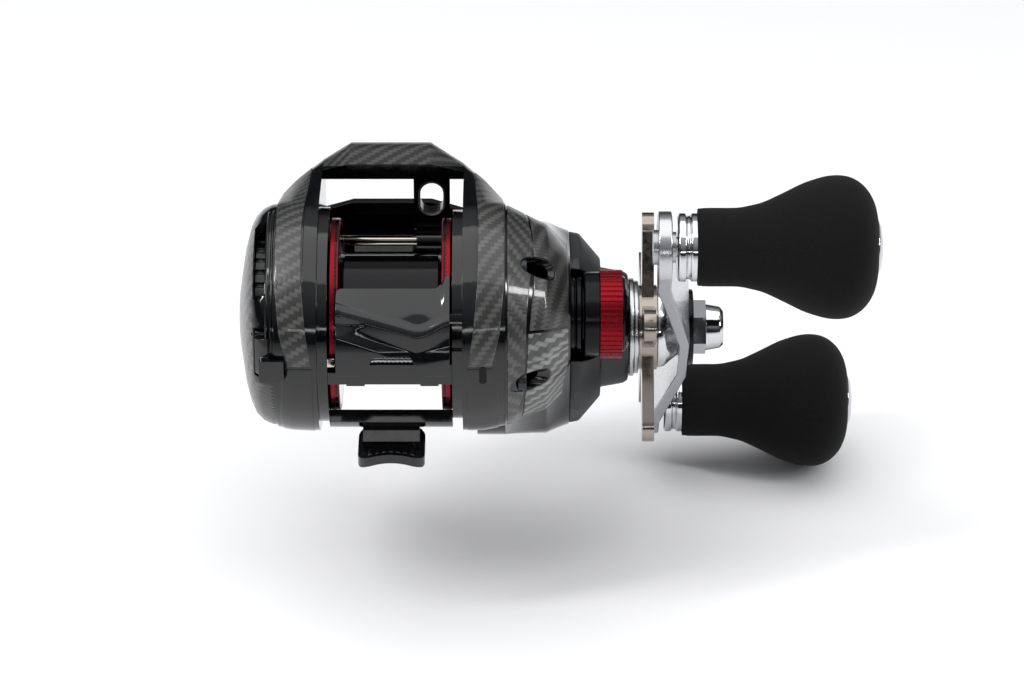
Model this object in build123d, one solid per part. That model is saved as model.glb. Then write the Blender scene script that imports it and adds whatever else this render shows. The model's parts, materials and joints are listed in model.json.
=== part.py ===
from build123d import *

import os
from math import acos, atan2, cos, degrees, hypot, pi, radians, sin, sqrt, tan

# A low-profile baitcasting reel, right-hand retrieve, in millimetres.
# +X runs along the spool axis towards the handle, +Y forward to the rod tip, +Z up.
# The origin is the middle of the reel foot's seat, straight below the spool axis.
# Places in a cross-section are pairs (y, z) measured from the spool axis.

# ---------------------------------------------------------------- driving dimensions
SPOOL_AXIS_HEIGHT = 23.5      # spool axis above the foot's seat
RUNNING = 0.05                # radial clearance of a shaft turning in its bore
GAP = 0.3                     # free gap between pieces that move past each other
WALL = 1.6                    # wall of the covers

SPOOL_RADIUS = 19.0
SPOOL_INNER_WIDTH = 20.0      # room for line between the flanges
FLANGE = 2.0                  # thickness of a spool flange
ARBOR_RADIUS = 11.9
ARBOR_WALL = 1.1
SPOOL_SHAFT_RADIUS = 1.5

FRAME_RING = 2.0              # the inner ring beside each flange
FRAME_PLATE = 2.7             # the plate outside that ring
SIDE_RADIUS = 23.0            # outline of the frame plates about the spool axis
SHOULDER = 5.6                # width of a shoulder cover along the axis
SHOULDER_RADIUS = 22.0        # outline at the outer edge of a shoulder

NOSE_UPPER = (25.5, 9.5)      # centres and radii of the nose, full size in the middle
NOSE_UPPER_RADIUS = 13.8
NOSE_LOWER = (30.0, -6.0)
NOSE_LOWER_RADIUS = 8.5
HOOD_THICKNESS = 1.5
HOOD_REAR = 19.4              # how far forward the hood's rear edge lies
FRONT_WALL = 2.2
MOUTH_LOW = 3.4               # the line opening's lower and upper lip, above the spool axis
MOUTH_HIGH = 9.8

GEAR_MODULE = 0.5
MAIN_TEETH = 60
PINION_TEETH = 12
LEVEL_DRIVE_TEETH = 36
LEVEL_WORM_TEETH = 20
PRESSURE_ANGLE = 25.0
BACKLASH = 0.12
DRIVE_DIRECTION = -38.0       # degrees from forward, spool axis to handle axis
WORM_DIRECTION = 31.5         # degrees from forward, handle axis to worm
GEAR_CASE_RADIUS = 21.7       # outline about the handle axis
GEAR_CASE_OUTER = 35.2        # where the gear cover ends along the axis

FOOT_THICKNESS = 1.9
FOOT_WIDTH = 13.2
FOOT_REAR = 21.0
FOOT_FRONT = 38.0
SEAT_RADIUS = 12.0            # the saddle curve that lies on a rod
BOTTOM_OPEN_FRONT = 15.5      # the front end of the frame's open bottom

THUMB_TRAVEL = 13.0           # degrees about the spool axis
CLUTCH_TRAVEL = 1.5

GUIDE_BAR = (24.0, 3.5)
GUIDE_BAR_RADIUS = 1.1
WORM_RADIUS = 2.2
WORM_TUBE_WALL = 0.7
WORM_END_RADIUS = 1.3
EYE = (27.0, 12.3)            # centre of the line guide's eye
EYE_HALF_WIDTH = 2.3
EYE_HALF_HEIGHT = 3.5
EYE_RIM = 0.45
GUIDE_AT = 7.6                # where the line guide stands along the axis
GUIDE_WIDTH = 7.3

HANDLE_LENGTH = 86.0          # between the knob axes
HANDLE_ANGLE = 129.2          # degrees from forward, handle axis to the upper knob
DRIVE_SHAFT_RADIUS = 3.0
KNOB_POST_RADIUS = 2.0
KNOB_FERRULE_RADIUS = 6.65
KNOB_NECK_RADIUS = 7.6
KNOB_RADIUS = 14.0
KNOB_FERRULE_START = 55.6
KNOB_GRIP_START = 59.6
KNOB_GRIP_END = 94.2
KNOB_CAP_RADIUS = 5.4

STAR_RADIUS = 24.0
STAR_ARMS = 5
STAR_ANGLE = 78.0             # degrees from forward to its first arm
STAR_START = 49.2
STAR_THICKNESS = 3.7

# ---------------------------------------------------------------- worked-out places
FLANGE_OUTER = SPOOL_INNER_WIDTH / 2 + FLANGE
RING_START = FLANGE_OUTER + 0.1
PLATE_START = RING_START + FRAME_RING
PLATE_END = PLATE_START + FRAME_PLATE
SHOULDER_END = PLATE_END + SHOULDER
SPOOL_HOLE = SPOOL_RADIUS + GAP

MAIN_RADIUS = GEAR_MODULE * MAIN_TEETH / 2
PINION_RADIUS = GEAR_MODULE * PINION_TEETH / 2
DRIVE_DISTANCE = MAIN_RADIUS + PINION_RADIUS
LEVEL_DRIVE_RADIUS = GEAR_MODULE * LEVEL_DRIVE_TEETH / 2
LEVEL_WORM_RADIUS = GEAR_MODULE * LEVEL_WORM_TEETH / 2
WORM_DISTANCE = LEVEL_DRIVE_RADIUS + LEVEL_WORM_RADIUS


def polar(radius, angle, centre=(0.0, 0.0)):
    """A place in the cross-section at a radius and an angle, in degrees from forward."""
    turn = radians(angle)
    return centre[0] + radius * cos(turn), centre[1] + radius * sin(turn)


SPOOL = (0.0, 0.0)
DRIVE = polar(DRIVE_DISTANCE, DRIVE_DIRECTION)
WORM = polar(WORM_DISTANCE, WORM_DIRECTION, DRIVE)
KNOB_UPPER = polar(HANDLE_LENGTH / 2, HANDLE_ANGLE, DRIVE)
KNOB_LOWER = polar(HANDLE_LENGTH / 2, HANDLE_ANGLE + 180, DRIVE)
WORM_TUBE_BORE = WORM_RADIUS + 0.15
WORM_TUBE_RADIUS = WORM_TUBE_BORE + WORM_TUBE_WALL


# ---------------------------------------------------------------- building blocks
def cylinder(start, end, radius, at=SPOOL):
    """A round bar along X."""
    place = Pos((start + end) / 2, at[0], SPOOL_AXIS_HEIGHT + at[1]) * Rot(0, 90, 0)
    return place * Cylinder(radius, end - start)


def tube(start, end, outer, inner, at=SPOOL):
    """A round tube along X."""
    return cylinder(start, end, outer, at) - cylinder(start - 1, end + 1, inner, at)


def turned(points, at=SPOOL):
    """A solid of revolution about an X axis, from (x, radius) corners."""
    outline = make_face(Polyline(*points, close=True))
    return Pos(0, at[0], SPOOL_AXIS_HEIGHT + at[1]) * revolve(outline, axis=Axis.X)


def section_plane(x):
    """The cross-section plane at x, with its origin on the spool axis."""
    return Plane(origin=(x, 0, SPOOL_AXIS_HEIGHT), x_dir=(0, 1, 0), z_dir=(1, 0, 0))


def slab(face, start, end):
    """A cross-section face made solid from one x to another."""
    return extrude(section_plane(start) * face, amount=end - start)


def polygon(points):
    """A cross-section face from its corners."""
    return make_face(Polyline(*points, close=True))


def belt_wire(circles):
    """The outline of a belt round circles (y, z, radius), given anticlockwise."""
    tangents = []
    for index, (y_a, z_a, r_a) in enumerate(circles):
        y_b, z_b, r_b = circles[(index + 1) % len(circles)]
        span = hypot(y_b - y_a, z_b - z_a)
        normal = atan2(z_b - z_a, y_b - y_a) - acos((r_a - r_b) / span)
        tangents.append(normal)
    edges = []
    for index, (y, z, r) in enumerate(circles):
        arrive = tangents[index - 1]
        leave = tangents[index]
        while leave < arrive:
            leave += 2 * pi
        middle = (arrive + leave) / 2
        corners = [(y + r * cos(a), z + r * sin(a)) for a in (arrive, middle, leave)]
        edges.append(ThreePointArc(*corners))
        y_n, z_n, r_n = circles[(index + 1) % len(circles)]
        end = (y_n + r_n * cos(leave), z_n + r_n * sin(leave))
        edges.append(Line(corners[2], end))
    return edges


def belt(circles, grow=0.0):
    """The face inside a belt, with every radius grown or shrunk."""
    return make_face(belt_wire([(y, z, r + grow) for y, z, r in circles]))


def between(low, high, share):
    """A value part of the way from low to high."""
    return low + (high - low) * share


def side_section(share):
    """The reel's outline, from the middle of the nose (0) to a shoulder's outer edge (1)."""
    # stations: share, spool radius, scale of the nose's reach, its radii
    stations = (
        (0.0, SIDE_RADIUS, 1.0, NOSE_UPPER_RADIUS, NOSE_LOWER_RADIUS),
        (0.43, SIDE_RADIUS, 0.885, 12.3, 8.5),
        (0.76, SIDE_RADIUS - 0.2, 0.725, 11.6, 8.6),
        (1.05, SHOULDER_RADIUS, 0.52, 11.3, 8.9),
    )
    for before, after in zip(stations, stations[1:]):
        if share <= after[0]:
            break
    part = (share - before[0]) / (after[0] - before[0])
    spool, reach, upper, lower = [between(a, b, part) for a, b in zip(before[1:], after[1:])]
    return [
        (0.0, 0.0, spool),
        (NOSE_LOWER[0] * reach, NOSE_LOWER[1] * reach, lower),
        (NOSE_UPPER[0] * reach, NOSE_UPPER[1] * reach, upper),
    ]


NOSE_FLAT = 8.0               # the nose keeps its full section this far from its middle
NOSE_MIDDLE = -0.6            # where that middle lies along the axis
NOSE_ENDS = (NOSE_MIDDLE - NOSE_FLAT, NOSE_MIDDLE + NOSE_FLAT)


def share_at(x):
    """How far out along the axis a section lies, 0 in the middle and 1 at the shoulder's edge."""
    return max(0.0, (abs(x - NOSE_MIDDLE) - NOSE_FLAT) / (SHOULDER_END - NOSE_FLAT))


def body_loft(stations, grow=0.0):
    """The reel's outer form between x stations, straight from one to the next."""
    solid = None
    for start, end in zip(stations, stations[1:]):
        faces = [section_plane(x) * belt(side_section(share_at(x)), grow) for x in (start, end)]
        piece = loft(faces, ruled=True)
        solid = piece if solid is None else solid + piece
    return solid


def mirrored_stations(*values):
    """The same stations on the left side, from left to right."""
    return [-value for value in reversed(values)]


def gear_outline(teeth, centre, phase, addendum=0.8, dedendum=1.1):
    """An involute spur gear's outline, with one tooth centred at the phase angle."""
    pitch = GEAR_MODULE * teeth / 2
    base = pitch * cos(radians(PRESSURE_ANGLE))
    tip = pitch + addendum * GEAR_MODULE
    root = pitch - dedendum * GEAR_MODULE
    involute = tan(radians(PRESSURE_ANGLE)) - radians(PRESSURE_ANGLE)
    half_pitch_tooth = (pi * GEAR_MODULE / 2 - BACKLASH / 2) / (2 * pitch)

    def half_angle(radius):
        roll = acos(min(1.0, base / radius))
        return half_pitch_tooth + involute - (tan(roll) - roll)

    flank = [root, max(base, root + 0.02), pitch, tip]
    points = []
    for tooth in range(teeth):
        middle = radians(phase) + 2 * pi * tooth / teeth
        rising = [(r, middle - half_angle(r)) for r in flank]
        falling = [(r, middle + half_angle(r)) for r in reversed(flank)]
        points += [(centre[0] + r * cos(a), centre[1] + r * sin(a)) for r, a in rising + falling]
    return polygon(points)


def ball_bearing(start, end, outer, bore, at):
    """A shielded ball bearing as one ring with a recess on both faces."""
    ring = tube(start, end, outer, bore, at)
    middle = (outer + bore) / 2
    half = (outer - bore) / 5
    for face in (start, end):
        ring -= tube(face - 0.2, face + 0.2, middle + half, middle - half, at)
    return ring


def coil_spring(start, end, mean_radius, wire, turns, at):
    """A spring along X, drawn as a thin sleeve with one groove between turns."""
    sleeve = tube(start, end, mean_radius + wire / 2, mean_radius - wire / 2, at)
    pitch = (end - start) / turns
    for turn in range(turns):
        middle = start + (turn + 0.5) * pitch
        sleeve -= tube(middle - pitch / 4, middle + pitch / 4, mean_radius + wire, mean_radius, at)
    return sleeve


nodes = {}


# ---------------------------------------------------------------- frame
SPOOL_BEARING_RADIUS = 5.0
BEARING_WIDTH = 2.5
SPOOL_BEARING_START = PLATE_START + 0.1
DRIVE_BEARING_RADIUS = 5.0
YOKE_POST_REACH = 11.0
YOKE_POST_RADIUS = 1.0
YOKE_POST_END = 32.4
YOKE_POSTS = [polar(YOKE_POST_REACH, DRIVE_DIRECTION + side) for side in (90, -90)]
BAR_INNER = SPOOL_RADIUS + 0.6        # the thumb bar's inner face
BAR_LUG = (SPOOL_RADIUS + 0.8, 21.4)  # inner and outer radius of the lug in its slot
BAR_LUG_ANGLES = (150.0, 156.0)
CROSSBAR_ANGLES = (178.6, 191.5)
CROSSBAR_OUTER = 20.9
BAR_LEFT = -10.4
GUIDE_PIN_RADIUS = 1.0
GUIDE_PIN = (20.0, 178.6)             # radius and angle of the thumb bar's guide pin
LOWER_BAR_ANGLES = (222.0, 244.0)
LOWER_BAR_INNER = SPOOL_RADIUS + 0.8
LOWER_BAR_OUTER = 22.4


def sector(inner, outer, first, last, centre=SPOOL):
    """A cross-section face between two radii and two angles."""
    middle = (first + last) / 2
    edges = [
        ThreePointArc(*[polar(outer, a, centre) for a in (first, middle, last)]),
        Line(polar(outer, last, centre), polar(inner, last, centre)),
        ThreePointArc(*[polar(inner, a, centre) for a in (last, middle, first)]),
        Line(polar(inner, first, centre), polar(outer, first, centre)),
    ]
    return make_face(edges)


def thumb_slot(start, end):
    """The curved slot in which the thumb bar's lug travels."""
    first = BAR_LUG_ANGLES[0] - 2
    last = BAR_LUG_ANGLES[1] + THUMB_TRAVEL + 2
    return slab(sector(BAR_LUG[0] - GAP, BAR_LUG[1] + GAP, first, last), start, end)


def frame_left_plate():
    """The open left plate: the spool and the palm side pass through it."""
    plate = body_loft(mirrored_stations(PLATE_START, PLATE_END))
    plate += tube(-PLATE_START, -RING_START, SPOOL_HOLE + 1.9, SPOOL_HOLE)
    plate -= cylinder(-PLATE_END - 1, -RING_START + 1, SPOOL_HOLE)
    plate -= cylinder(-PLATE_START - 1.4, -RING_START + 1, GUIDE_PIN_RADIUS, polar(*GUIDE_PIN))
    plate -= cylinder(-PLATE_START - 1.6, -PLATE_START + 1, GUIDE_BAR_RADIUS + 0.02, GUIDE_BAR)
    plate -= cylinder(-PLATE_START - 2, -PLATE_START + 1, WORM_TUBE_RADIUS + 0.02, WORM)
    return plate


def frame_right_plate():
    """The right plate carries the spool bearing, the drive shaft, the worm and the clutch posts."""
    plate = body_loft((PLATE_START, PLATE_END))
    plate += tube(RING_START, PLATE_START, SPOOL_HOLE + 1.3, SPOOL_HOLE)
    plate -= cylinder(SPOOL_BEARING_START, PLATE_END + 1, SPOOL_BEARING_RADIUS)
    plate -= cylinder(PLATE_START - 1, PLATE_END + 1, SPOOL_BEARING_RADIUS - 1.2)
    plate -= cylinder(PLATE_START + 0.3, PLATE_END + 1, DRIVE_BEARING_RADIUS, DRIVE)
    plate -= cylinder(PLATE_START - 1.6, PLATE_START + 1.6, GUIDE_BAR_RADIUS + 0.02, GUIDE_BAR)
    plate -= cylinder(PLATE_START - 1, PLATE_END + 1, WORM_TUBE_RADIUS, WORM)
    for post in YOKE_POSTS:
        plate += cylinder(PLATE_END - 0.5, YOKE_POST_END, YOKE_POST_RADIUS, post)
    return plate - thumb_slot(RING_START - 1, PLATE_END + 1)


def nose_shell(outer_grow, inner_grow):
    """A shell of the nose between the two plates, rounded in towards them."""
    half = PLATE_START
    stations = [-half, *NOSE_ENDS, half]
    return body_loft(stations, outer_grow) - body_loft(
        [-half - 0.01] + stations[1:3] + [half + 0.01], inner_grow
    )


def front_lower_wall():
    """The wall under the line opening, open below the spool."""
    wall = nose_shell(0.0, -FRONT_WALL)
    keep = polygon([
        (BOTTOM_OPEN_FRONT, -40), (60, -40), (60, MOUTH_LOW), (30, MOUTH_LOW + 2.4),
        (24, -8), (BOTTOM_OPEN_FRONT, -10),
    ])
    return wall & slab(keep, -PLATE_START, PLATE_START)


def hood_keep(rear):
    """The cross-section region above and in front of the line opening."""
    return polygon([
        (rear, 40), (rear, 23.4), (rear + 2.7, 18.4), (EYE[0] + 3.0, 18.4),
        (37.5, MOUTH_HIGH + 1.6), (60, MOUTH_HIGH), (60, 40),
    ])


def hood_bar():
    """The top bar that joins the plates above the line opening."""
    half = PLATE_START
    stations = [-half, *NOSE_ENDS, half]
    bar = body_loft(stations, -HOOD_THICKNESS)
    return bar & slab(hood_keep(HOOD_REAR + 0.1), -half, half)


def front_hood():
    """The hood cover over the top bar."""
    hood = nose_shell(0.0, -HOOD_THICKNESS)
    return hood & slab(hood_keep(HOOD_REAR), -PLATE_START, PLATE_START)


def rear_crossbar():
    """The bar across the frame behind the thumb bar, with two small tabs below."""
    face = sector(SPOOL_RADIUS + 0.4, CROSSBAR_OUTER, *CROSSBAR_ANGLES)
    bar = slab(face, -RING_START, RING_START)
    bar -= slab(sector(18.0, 22.0, 170.0, GUIDE_PIN[1] + 5.0), -RING_START - 1, BAR_LEFT + 0.5)
    for middle in (-6.7, 7.7):
        tab = sector(SPOOL_RADIUS + 0.6, CROSSBAR_OUTER - 0.3, CROSSBAR_ANGLES[1] - 1, CROSSBAR_ANGLES[1] + 2)
        bar += slab(tab, middle - 1.8, middle + 1.8)
    return bar


def rear_foot_pad():
    """The bar under the rear of the spool, with the pad that the rear foot grows from."""
    bar = slab(sector(LOWER_BAR_INNER, LOWER_BAR_OUTER, *LOWER_BAR_ANGLES), -RING_START, RING_START)
    lowest = polar(LOWER_BAR_OUTER, LOWER_BAR_ANGLES[1])
    pad = polygon([
        polar(LOWER_BAR_INNER + 0.6, LOWER_BAR_ANGLES[0] + 8), polar(LOWER_BAR_INNER + 0.6, LOWER_BAR_ANGLES[1]),
        (lowest[0], FOOT_PAD), (-17.0, FOOT_PAD), (-17.0, FOOT_PAD + 1.6),
    ])
    return bar + slab(pad, -FOOT_WIDTH / 2 + 1.0, FOOT_WIDTH / 2 - 1.0)


FOOT_PAD = -SPOOL_AXIS_HEIGHT + FOOT_THICKNESS + 0.8   # sunk into the arch of each tongue


def foot_tongue(rear, front):
    """A saddle-curved tongue of the reel foot, ribbed on top, with rounded end corners."""
    length = front - rear
    middle = (rear + front) / 2
    arch = Pos(0, middle, -SEAT_RADIUS + 1.7) * Rot(90, 0, 0) * Cylinder(SEAT_RADIUS + FOOT_THICKNESS, length)
    arch -= Pos(0, middle, -SEAT_RADIUS + 1.7) * Rot(90, 0, 0) * Cylinder(SEAT_RADIUS, length + 2)
    blank = Pos(0, middle, 0) * extrude(RectangleRounded(FOOT_WIDTH, length, 3.0), amount=12, both=True)
    tongue = arch & blank & Pos(0, middle, 6) * Box(40, length, 12)
    for x in (-4.2, -2.1, 0.0, 2.1, 4.2):
        height = sqrt((SEAT_RADIUS + FOOT_THICKNESS) ** 2 - x * x) - SEAT_RADIUS + 1.7
        tongue -= Pos(x, middle, height) * Box(0.5, length - 3.0, 0.5)
    return tongue


def foot_rear():
    """The rear foot with its crossbar, in one piece."""
    return foot_tongue(-FOOT_REAR, -8.0) + rear_foot_pad()


def foot_front():
    """The front foot with the block that joins it to the front wall."""
    rear = BOTTOM_OPEN_FRONT + 0.5
    block = polygon([(rear, FOOT_PAD), (rear, -19.0), (27.0, -14.5), (27.0, FOOT_PAD)])
    solid = slab(block, -FOOT_WIDTH / 2 + 1.0, FOOT_WIDTH / 2 - 1.0)
    solid -= body_loft([-PLATE_START, *NOSE_ENDS, PLATE_START])
    return foot_tongue(rear, FOOT_FRONT) + solid


nodes["frame_left_plate"] = frame_left_plate
nodes["frame_right_plate"] = frame_right_plate
nodes["front_lower_wall"] = front_lower_wall
nodes["hood_bar"] = hood_bar
nodes["front_hood"] = front_hood
nodes["rear_crossbar"] = rear_crossbar
nodes["foot_rear"] = foot_rear
nodes["foot_front"] = foot_front


# ---------------------------------------------------------------- covers
CAST_COLLAR_RADIUS = 7.3
CAST_CLEARANCE = 9.3
BOSS_RADIUS = 19.3
BOSS_TOP_RADIUS = 13.9
BOSS_END = 41.5
HOUSING_RADIUS = 12.3
HOUSING_END_RADIUS = 10.7
HOUSING_END = 47.1
ROLLER_RADIUS = 7.0
CASE_FLOOR = 1.2
COVER_SCREW_PLACES = [polar(18.0, 121.0), polar(19.0, 193.0), polar(19.0, -42.0, DRIVE)]


def shoulder(side):
    """A shoulder cover beside a frame plate, hollow, open on both faces."""
    outer = (PLATE_END, between(PLATE_END, SHOULDER_END, 0.45), SHOULDER_END)
    inner = (PLATE_END - 0.01, outer[1], SHOULDER_END + 0.01)
    if side < 0:
        outer = mirrored_stations(*outer)
        inner = mirrored_stations(*inner)
    return body_loft(outer), body_loft(inner, -WALL)


def left_shoulder_cover():
    outer, inner = shoulder(-1)
    return outer - inner


def gear_case(start, end, grow):
    """The round of the gear case about the handle axis."""
    return cylinder(start, end, GEAR_CASE_RADIUS + grow, DRIVE)


def right_shoulder_cover():
    """The right shoulder also holds the inner half of the gear case."""
    outer, inner = shoulder(1)
    solid = outer + gear_case(PLATE_END, SHOULDER_END, 0.0)
    solid -= inner
    solid -= gear_case(PLATE_END + CASE_FLOOR, SHOULDER_END + 1, -WALL)
    slot = Pos(19.5, *polar_world(22.5, 190.0)) * Box(1.6, 3.0, 4.0)
    return solid - slot


def polar_world(radius, angle, centre=SPOOL):
    """The same as polar, with the height above the foot's seat."""
    y, z = polar(radius, angle, centre)
    return y, z + SPOOL_AXIS_HEIGHT


def cover_form(start, end, grow):
    """The gear side cover's form: a belt round the spool axis and the handle axis."""
    stations = (
        (SHOULDER_END, SHOULDER_RADIUS - 0.3, GEAR_CASE_RADIUS),
        (30.6, 17.6, GEAR_CASE_RADIUS - 0.3),
        (GEAR_CASE_OUTER, 12.0, BOSS_RADIUS + 0.2),
    )
    solid = None
    for (x_a, spool_a, drive_a), (x_b, spool_b, drive_b) in zip(stations, stations[1:]):
        x_low = max(x_a, start)
        x_high = min(x_b, end)
        faces = []
        for x in (x_low, x_high):
            part = (x - x_a) / (x_b - x_a)
            circles = [
                (0.0, 0.0, between(spool_a, spool_b, part)),
                (DRIVE[0], DRIVE[1], between(drive_a, drive_b, part)),
            ]
            faces.append(section_plane(x) * belt(circles, grow))
        piece = loft(faces, ruled=True)
        solid = piece if solid is None else solid + piece
    return solid


def gear_side_cover():
    """The right cover over the gears, with three recessed screw seats."""
    cover = cover_form(SHOULDER_END, GEAR_CASE_OUTER, 0.0)
    cover -= cover_form(SHOULDER_END, GEAR_CASE_OUTER - WALL, -WALL)
    for place in COVER_SCREW_PLACES:
        post = cylinder(SHOULDER_END, 26.0, 2.6, place)
        cover += post & cover_form(SHOULDER_END, GEAR_CASE_OUTER, 0.0)
        cover -= cylinder(25.0, 40.0, 2.1, place)
        cover -= cylinder(SHOULDER_END - 1, 26.0, 1.15, place)
    cover -= cylinder(30.0, 40.0, ROLLER_RADIUS, DRIVE)
    cover -= cylinder(30.0, 40.0, 4.2)
    return cover


def side_cover_screws():
    """Three cover screws, each with a cross recess."""
    group = []
    for place in COVER_SCREW_PLACES:
        screw = cylinder(SHOULDER_END - 0.6, 25.0, 1.1, place) + cylinder(25.0, 26.6, 2.0, place)
        y, z = place
        for size in ((3.0, 0.6), (0.6, 3.0)):
            screw -= Pos(26.6, y, z + SPOOL_AXIS_HEIGHT) * Box(1.2, *size)
        group.append(screw)
    return Compound(children=group)


def gear_side_boss():
    """The eight-sided boss and shaft housing, cut out round the cast control knob."""
    boss = turned([
        (GEAR_CASE_OUTER, 0), (GEAR_CASE_OUTER, BOSS_RADIUS), (37.2, BOSS_RADIUS - 0.4),
        (BOSS_END, BOSS_TOP_RADIUS), (BOSS_END, 0),
    ], DRIVE)
    eight = make_face(Polyline(*[polar(BOSS_RADIUS + 0.7, 22.5 + 45 * k, DRIVE) for k in range(8)], close=True))
    boss &= slab(eight, GEAR_CASE_OUTER, BOSS_END)
    boss += turned([
        (BOSS_END - 1, 0), (BOSS_END - 1, HOUSING_RADIUS), (HOUSING_END - 1.0, HOUSING_RADIUS - 1.0),
        (HOUSING_END, HOUSING_END_RADIUS), (HOUSING_END, 0),
    ], DRIVE)
    boss -= cylinder(GEAR_CASE_OUTER - 1, HOUSING_END + 1, CAST_CLEARANCE)
    boss -= cylinder(GEAR_CASE_OUTER - 1, 40.5, ROLLER_RADIUS, DRIVE)
    boss -= cylinder(GEAR_CASE_OUTER - 1, HOUSING_END + 1, ROLLER_RADIUS - 1.6, DRIVE)
    return boss


PALM_STATIONS = ((SHOULDER_END, 21.9), (23.4, 21.8), (25.2, 21.0), (26.6, 19.6), (27.6, 17.4),
                 (28.5, 14.0), (29.4, 8.6), (29.9, 5.0))
PALM_WALL = 1.05              # inward and sideways step of the dome's inner face
DIAL_WINDOW = (92.0, 141.0)
DIAL_X = (24.3, 26.3)
DIAL_RADIUS = 16.2
LEVER_PIN = polar(19.0, 162.0)
LEVER_PIN_RADIUS = 0.5
LEVER_X = (23.5, 26.1)
LEVER_ANGLES = (163.5, 184.0)
LEVER_INNER = 18.3
LEVER_LIP_INNER = SIDE_RADIUS         # the lip reaches over the shoulder cover
LEVER_LIP_OUTER = SIDE_RADIUS + 1.1
LEVER_LIP_ANGLES = (173.0, 184.0)
LEVER_LIP_END = -20.4


def palm_dome(grow=0.0):
    """The palm side's solid outer form."""
    outside = [(-x, r + grow) for x, r in PALM_STATIONS]
    return turned([(-SHOULDER_END, 0)] + outside + [(outside[-1][0], 0)])


def palm_side_plate():
    """The domed palm side cover, with the dial's window and the lever's pocket and pin."""
    inside = [(-x + PALM_WALL, r - PALM_WALL) for x, r in PALM_STATIONS[1:]]
    first = -SHOULDER_END + 1
    hollow = turned([(first, 0), (first, inside[0][1])] + inside[1:] + [(inside[-1][0], 0)])
    dome = palm_dome()
    cover = dome - hollow
    cover -= slab(sector(DIAL_RADIUS - 0.6, 25.0, *DIAL_WINDOW), -DIAL_X[1] - 0.1, -DIAL_X[0] + 0.15)
    x_low = -LEVER_X[1] - 0.2
    x_high = -LEVER_X[0] + 0.2
    box = slab(sector(LEVER_INNER - 1.2, 25.0, 155.5, 189.0), x_low - 0.6, x_high + 0.9) & dome
    pocket = slab(sector(LEVER_INNER - 0.4, 25.0, 158.0, 186.5), x_low, x_high)
    cover = cover + box - pocket
    return cover + cylinder(x_low - 0.5, x_high + 0.5, LEVER_PIN_RADIUS, LEVER_PIN)


def side_plate_lever():
    """The release lever of the palm side, on its own pin, with a thumbnail notch."""
    x_low, x_high = -LEVER_X[1], -LEVER_X[0]
    plate = slab(sector(LEVER_INNER, 25.0, *LEVER_ANGLES), x_low, x_high) & palm_dome(0.4)
    lever = plate + cylinder(x_low, x_high, 1.0, LEVER_PIN)
    lever += slab(sector(LEVER_LIP_INNER - 2.0, LEVER_LIP_OUTER, *LEVER_LIP_ANGLES), x_low + 0.9, x_high)
    lever += slab(sector(LEVER_LIP_INNER, LEVER_LIP_OUTER, *LEVER_LIP_ANGLES), x_high - 0.1, LEVER_LIP_END)
    lever -= cylinder(x_low - 1, x_high + 1, 0.9, polar(LEVER_INNER, LEVER_ANGLES[1]))
    return lever - cylinder(x_low - 1, x_high + 1, LEVER_PIN_RADIUS + RUNNING, LEVER_PIN)


nodes["left_shoulder_cover"] = left_shoulder_cover
nodes["right_shoulder_cover"] = right_shoulder_cover
nodes["gear_side_cover"] = gear_side_cover
nodes["side_cover_screws"] = side_cover_screws
nodes["gear_side_boss"] = gear_side_boss
nodes["palm_side_plate"] = palm_side_plate


# ---------------------------------------------------------------- brake side
RACE_RADIUS = 9.4
HUB_RADIUS = 6.2
LEFT_BEARING = (-17.6, -15.1)


def brake_housing():
    """The inner plate of the palm side: a bayonet disc, the hub and the brake race."""
    disc = cylinder(-22.0, -20.2, 18.6)
    hub = cylinder(-20.2, -14.6, HUB_RADIUS)
    race = tube(-20.2, -5.0, RACE_RADIUS, RACE_RADIUS - 1.0)
    housing = disc + hub + race
    housing -= cylinder(LEFT_BEARING[0], -14.0, SPOOL_BEARING_RADIUS)
    housing -= cylinder(LEFT_BEARING[0] - 1.5, -14.0, SPOOL_SHAFT_RADIUS + 0.5)
    for angle in range(0, 360, 60):
        housing -= cylinder(-23, -19, 1.6, polar(14.6, angle))
    for angle in range(30, 360, 120):
        housing += slab(sector(18.2, 19.1, angle, angle + 24), -22.0, -20.2)
    housing -= cylinder(-23, -21.2, 3.05)
    return housing


def brake_dial():
    """The brake dial: a disc with a ribbed edge on a short stub."""
    dial = tube(-DIAL_X[1], -DIAL_X[0], DIAL_RADIUS, 3.0)
    dial -= tube(-DIAL_X[1] - 1, -DIAL_X[1] + 1.1, DIAL_RADIUS - 2.0, 4.0)
    for angle in range(0, 360, 10):
        dial -= cylinder(-DIAL_X[1] - 1, -DIAL_X[0] + 1, 0.55, polar(DIAL_RADIUS + 0.1, angle))
    return dial + cylinder(-DIAL_X[1], -21.4, 3.0)


def spool_bearing_left():
    return ball_bearing(*LEFT_BEARING, SPOOL_BEARING_RADIUS, SPOOL_SHAFT_RADIUS + RUNNING, SPOOL)


nodes["brake_housing"] = brake_housing
nodes["brake_dial"] = brake_dial
nodes["spool_bearing_left"] = spool_bearing_left
nodes["side_plate_lever"] = side_plate_lever


# ---------------------------------------------------------------- spool and pinion
SHAFT_LEFT = -18.4
SHAFT_RIGHT = 36.0
PINION_START = 19.2
PINION_TOOTH_END = 25.8
PINION_END = 30.4
GROOVE = (27.6, 28.7)


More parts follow.
